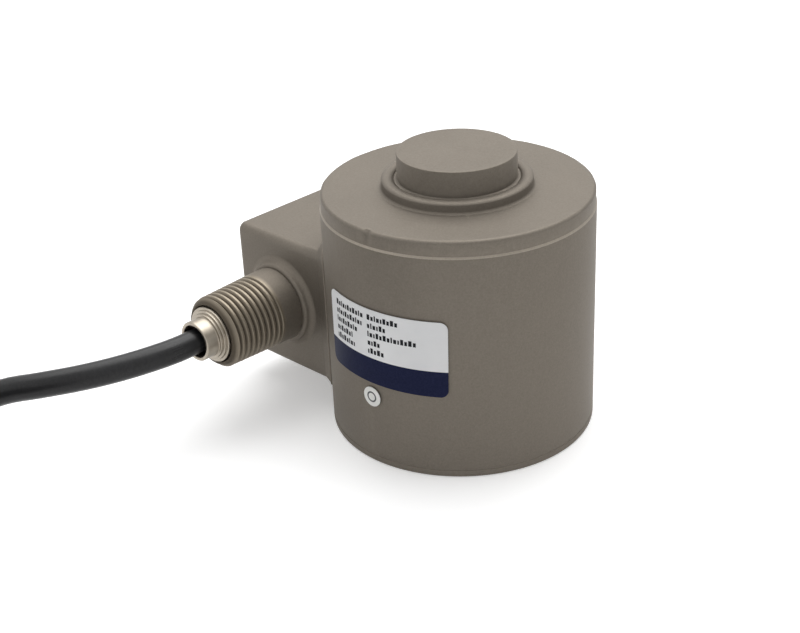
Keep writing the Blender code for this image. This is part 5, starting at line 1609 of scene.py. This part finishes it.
label_film, tree, shader, place = new_material("label_film", IOR=1.1)
sheet_spot = add_node(tree, "SeparateXYZ", {"Vector": add_node(tree, "UVMap").outputs["UV"]}).outputs
pebbled = use_group(tree, blast_grain, Place=place, Grain=0.2 * MM)
clouds = use_group(tree, clouding, Place=place, Patch=12 * MM)
white = blend_colours(tree, clouds["Cloud"], *FILM_WHITE)
ink = blend_colours(tree, pebbled["Speckle"], *BAND_BLUE)
band_edge = LABEL_BAND / LABEL_HEIGHT
in_field = stretch(tree, sheet_spot["Y"], band_edge - 0.002, band_edge + 0.002)
rough = stretch(tree, in_field, 0.0, 1.0, 0.30, 0.42)
rough = sum_up(tree, "MULTIPLY_ADD", clouds["Cloud"], 0.06, rough)
colour = blend_colours(tree, in_field, ink, white)
dress(tree, shader, colour, rough, pebbled["Height"], 0.12, 0.02 * MM)
give(label_film, label)

print_ink, tree, shader, place = new_material("print_ink", IOR=1.2)
pebbled = use_group(tree, blast_grain, Place=place, Grain=0.18 * MM)
ink = blend_colours(tree, pebbled["Speckle"], *PRINT_BLACK)
rough = stretch(tree, pebbled["Speckle"], 0.0, 1.0, 0.35, 0.5)
dress(tree, shader, ink, rough, pebbled["Height"], 0.1, 0.02 * MM)
give(print_ink, dashes)

dot_film, tree, shader, place = new_material("dot_film", IOR=1.46)
centre = (LABEL_RADIUS * math.cos(DOT_ANGLE), LABEL_RADIUS * math.sin(DOT_ANGLE), DOT_HEIGHT)
from_centre = add_node(tree, "VectorMath", {0: place, 1: centre}, operation="DISTANCE").outputs["Value"]
out_share = sum_up(tree, "DIVIDE", from_centre, DOT_RADIUS)
ring_start = stretch(tree, out_share, MARK_INSIDE - MARK_SOFTNESS, MARK_INSIDE + MARK_SOFTNESS)
ring_end = stretch(tree, out_share, MARK_OUTSIDE - MARK_SOFTNESS, MARK_OUTSIDE + MARK_SOFTNESS, 1.0, 0.0)
mark = sum_up(tree, "MULTIPLY", ring_start, ring_end)
clouds = use_group(tree, clouding, Place=place, Patch=4 * MM)
pebbled = use_group(tree, blast_grain, Place=place, Grain=0.2 * MM)
colour = blend_colours(tree, mark, blend_colours(tree, clouds["Cloud"], *DOT_WHITE), DOT_INK)
rough = stretch(tree, clouds["Cloud"], 0.0, 1.0, 0.38, 0.5)
dress(tree, shader, colour, rough, pebbled["Height"], 0.12, 0.02 * MM)
give(dot_film, dot)
print("label finishes:", label_film.name, print_ink.name, dot_film.name)

# %% [markdown]
# ## Inside the canister
#
# Nothing inside shows, but a cutaway would: foil gauges on the column's flats, a green
# circuit board with trimming resistors, and a glass seal with four pins. These solids
# stay as they are and only get their finishes.

# %% Board, gauge foil, glass and resistors
board_resin, tree, shader, place = new_material("board_resin", IOR=1.5)
weave_feeds = {"Vector": place, "Scale": 900.0, "Distortion": 0.5}
weave_across = add_node(tree, "TexWave", weave_feeds, bands_direction="X").outputs["Fac"]
weave_up = add_node(tree, "TexWave", weave_feeds, bands_direction="Y").outputs["Fac"]
weave = sum_up(tree, "MULTIPLY", weave_across, weave_up)
clouds = use_group(tree, clouding, Place=place, Patch=10 * MM)
colour = blend_colours(tree, weave, (0.012, 0.095, 0.035, 1), (0.03, 0.18, 0.07, 1))
colour = tint(tree, clouds["Cloud"], 0.3, colour, (0.02, 0.13, 0.05, 1))
rough = stretch(tree, clouds["Cloud"], 0.0, 1.0, 0.28, 0.42)
dress(tree, shader, colour, rough, weave, 0.3, 0.03 * MM)

gauge_foil, tree, shader, place = new_material("gauge_foil", IOR=1.55)
grid = add_node(tree, "TexWave", {"Vector": place, "Scale": 420.0}, bands_direction="DIAGONAL")
lines = stretch(tree, grid.outputs["Fac"], 0.45, 0.55)
clouds = use_group(tree, clouding, Place=place, Patch=4 * MM)
film = blend_colours(tree, clouds["Cloud"], (0.42, 0.22, 0.04, 1), (0.60, 0.36, 0.09, 1))
colour = blend_colours(tree, lines, film, (0.52, 0.46, 0.38, 1))
tree.links.new(sum_up(tree, "MULTIPLY", lines, 0.9), shader.inputs["Metallic"])
dress(tree, shader, colour, stretch(tree, lines, 0.0, 1.0, 0.22, 0.36), lines, 0.4, 0.01 * MM)

seal_glass, tree, shader, place = new_material("seal_glass", IOR=1.52)
clouds = use_group(tree, clouding, Place=place, Patch=3 * MM)
bubbles = add_node(tree, "TexVoronoi", {"Vector": place, "Scale": 1500.0}).outputs["Distance"]
tone = weigh(tree, clouds["Cloud"], 0.6, bubbles)
colour = blend_colours(tree, tone, (0.012, 0.055, 0.045, 1), (0.04, 0.13, 0.11, 1))
dress(tree, shader, colour, stretch(tree, tone, 0.0, 1.0, 0.05, 0.14), bubbles, 0.15, 0.03 * MM)

resistor_coat, tree, shader, place = new_material("resistor_coat", IOR=1.5)
clouds = use_group(tree, clouding, Place=place, Patch=3 * MM)
pebbled = use_group(tree, blast_grain, Place=place, Grain=0.3 * MM)
colour = blend_colours(tree, clouds["Cloud"], (0.26, 0.42, 0.50, 1), (0.38, 0.56, 0.64, 1))
rough = stretch(tree, pebbled["Speckle"], 0.0, 1.0, 0.3, 0.45)
dress(tree, shader, colour, rough, pebbled["Height"], 0.2, 0.03 * MM)
print("inner finishes:", board_resin.name, gauge_foil.name, seal_glass.name, resistor_coat.name)

# %% Finishes of the solids that stay
inner_finishes = {
    "bridge_board": board_resin,
    "terminal_board": board_resin,
    "feedthrough_shell": turned_steel,
    "feedthrough_glass": seal_glass,
    "gland_clamp_ring": turned_steel,
    "gland_grommet": rubber,
    "gland_o_ring": rubber,
}
for number in (1, 2, 3):
    inner_finishes[f"board_screw_{number}"] = turned_steel
    inner_finishes[f"board_spacer_{number}"] = nickel_plate
for number, (colour_name, (dark, light)) in enumerate(WIRE_TONES.items(), 1):
    insulation = moulded("insulation_" + colour_name, dark, light, 0.36, 0.3 * MM, 0.12)
    inner_finishes[f"strain_gauge_{number}"] = gauge_foil
    inner_finishes[f"trim_resistor_{number}"] = resistor_coat
    inner_finishes[f"feedthrough_pin_{number}"] = gilded
    for kind in ("gauge_lead", "bridge_wire", "cable_conductor"):
        inner_finishes[f"{kind}_{number}"] = insulation
for name, material in inner_finishes.items():
    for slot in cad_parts[name].material_slots:
        slot.material = material
seen_nodes = [name for name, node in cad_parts.items() if not node.hide_render]
bare_nodes = [name for name in seen_nodes if name not in inner_finishes]
print("solids kept:", len(inner_finishes), "without a finish:", bare_nodes)

# %% [markdown]
# ## Last look
#
# The growth from the solids' box to the dressed model's box is printed.

# %% Sizes
dressed_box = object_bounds()
growth = [round((b - a) / MM, 2) for a, b in zip(cad_box[1] - cad_box[0], dressed_box[1] - dressed_box[0])]
print("growth of the box in millimetres:", growth)
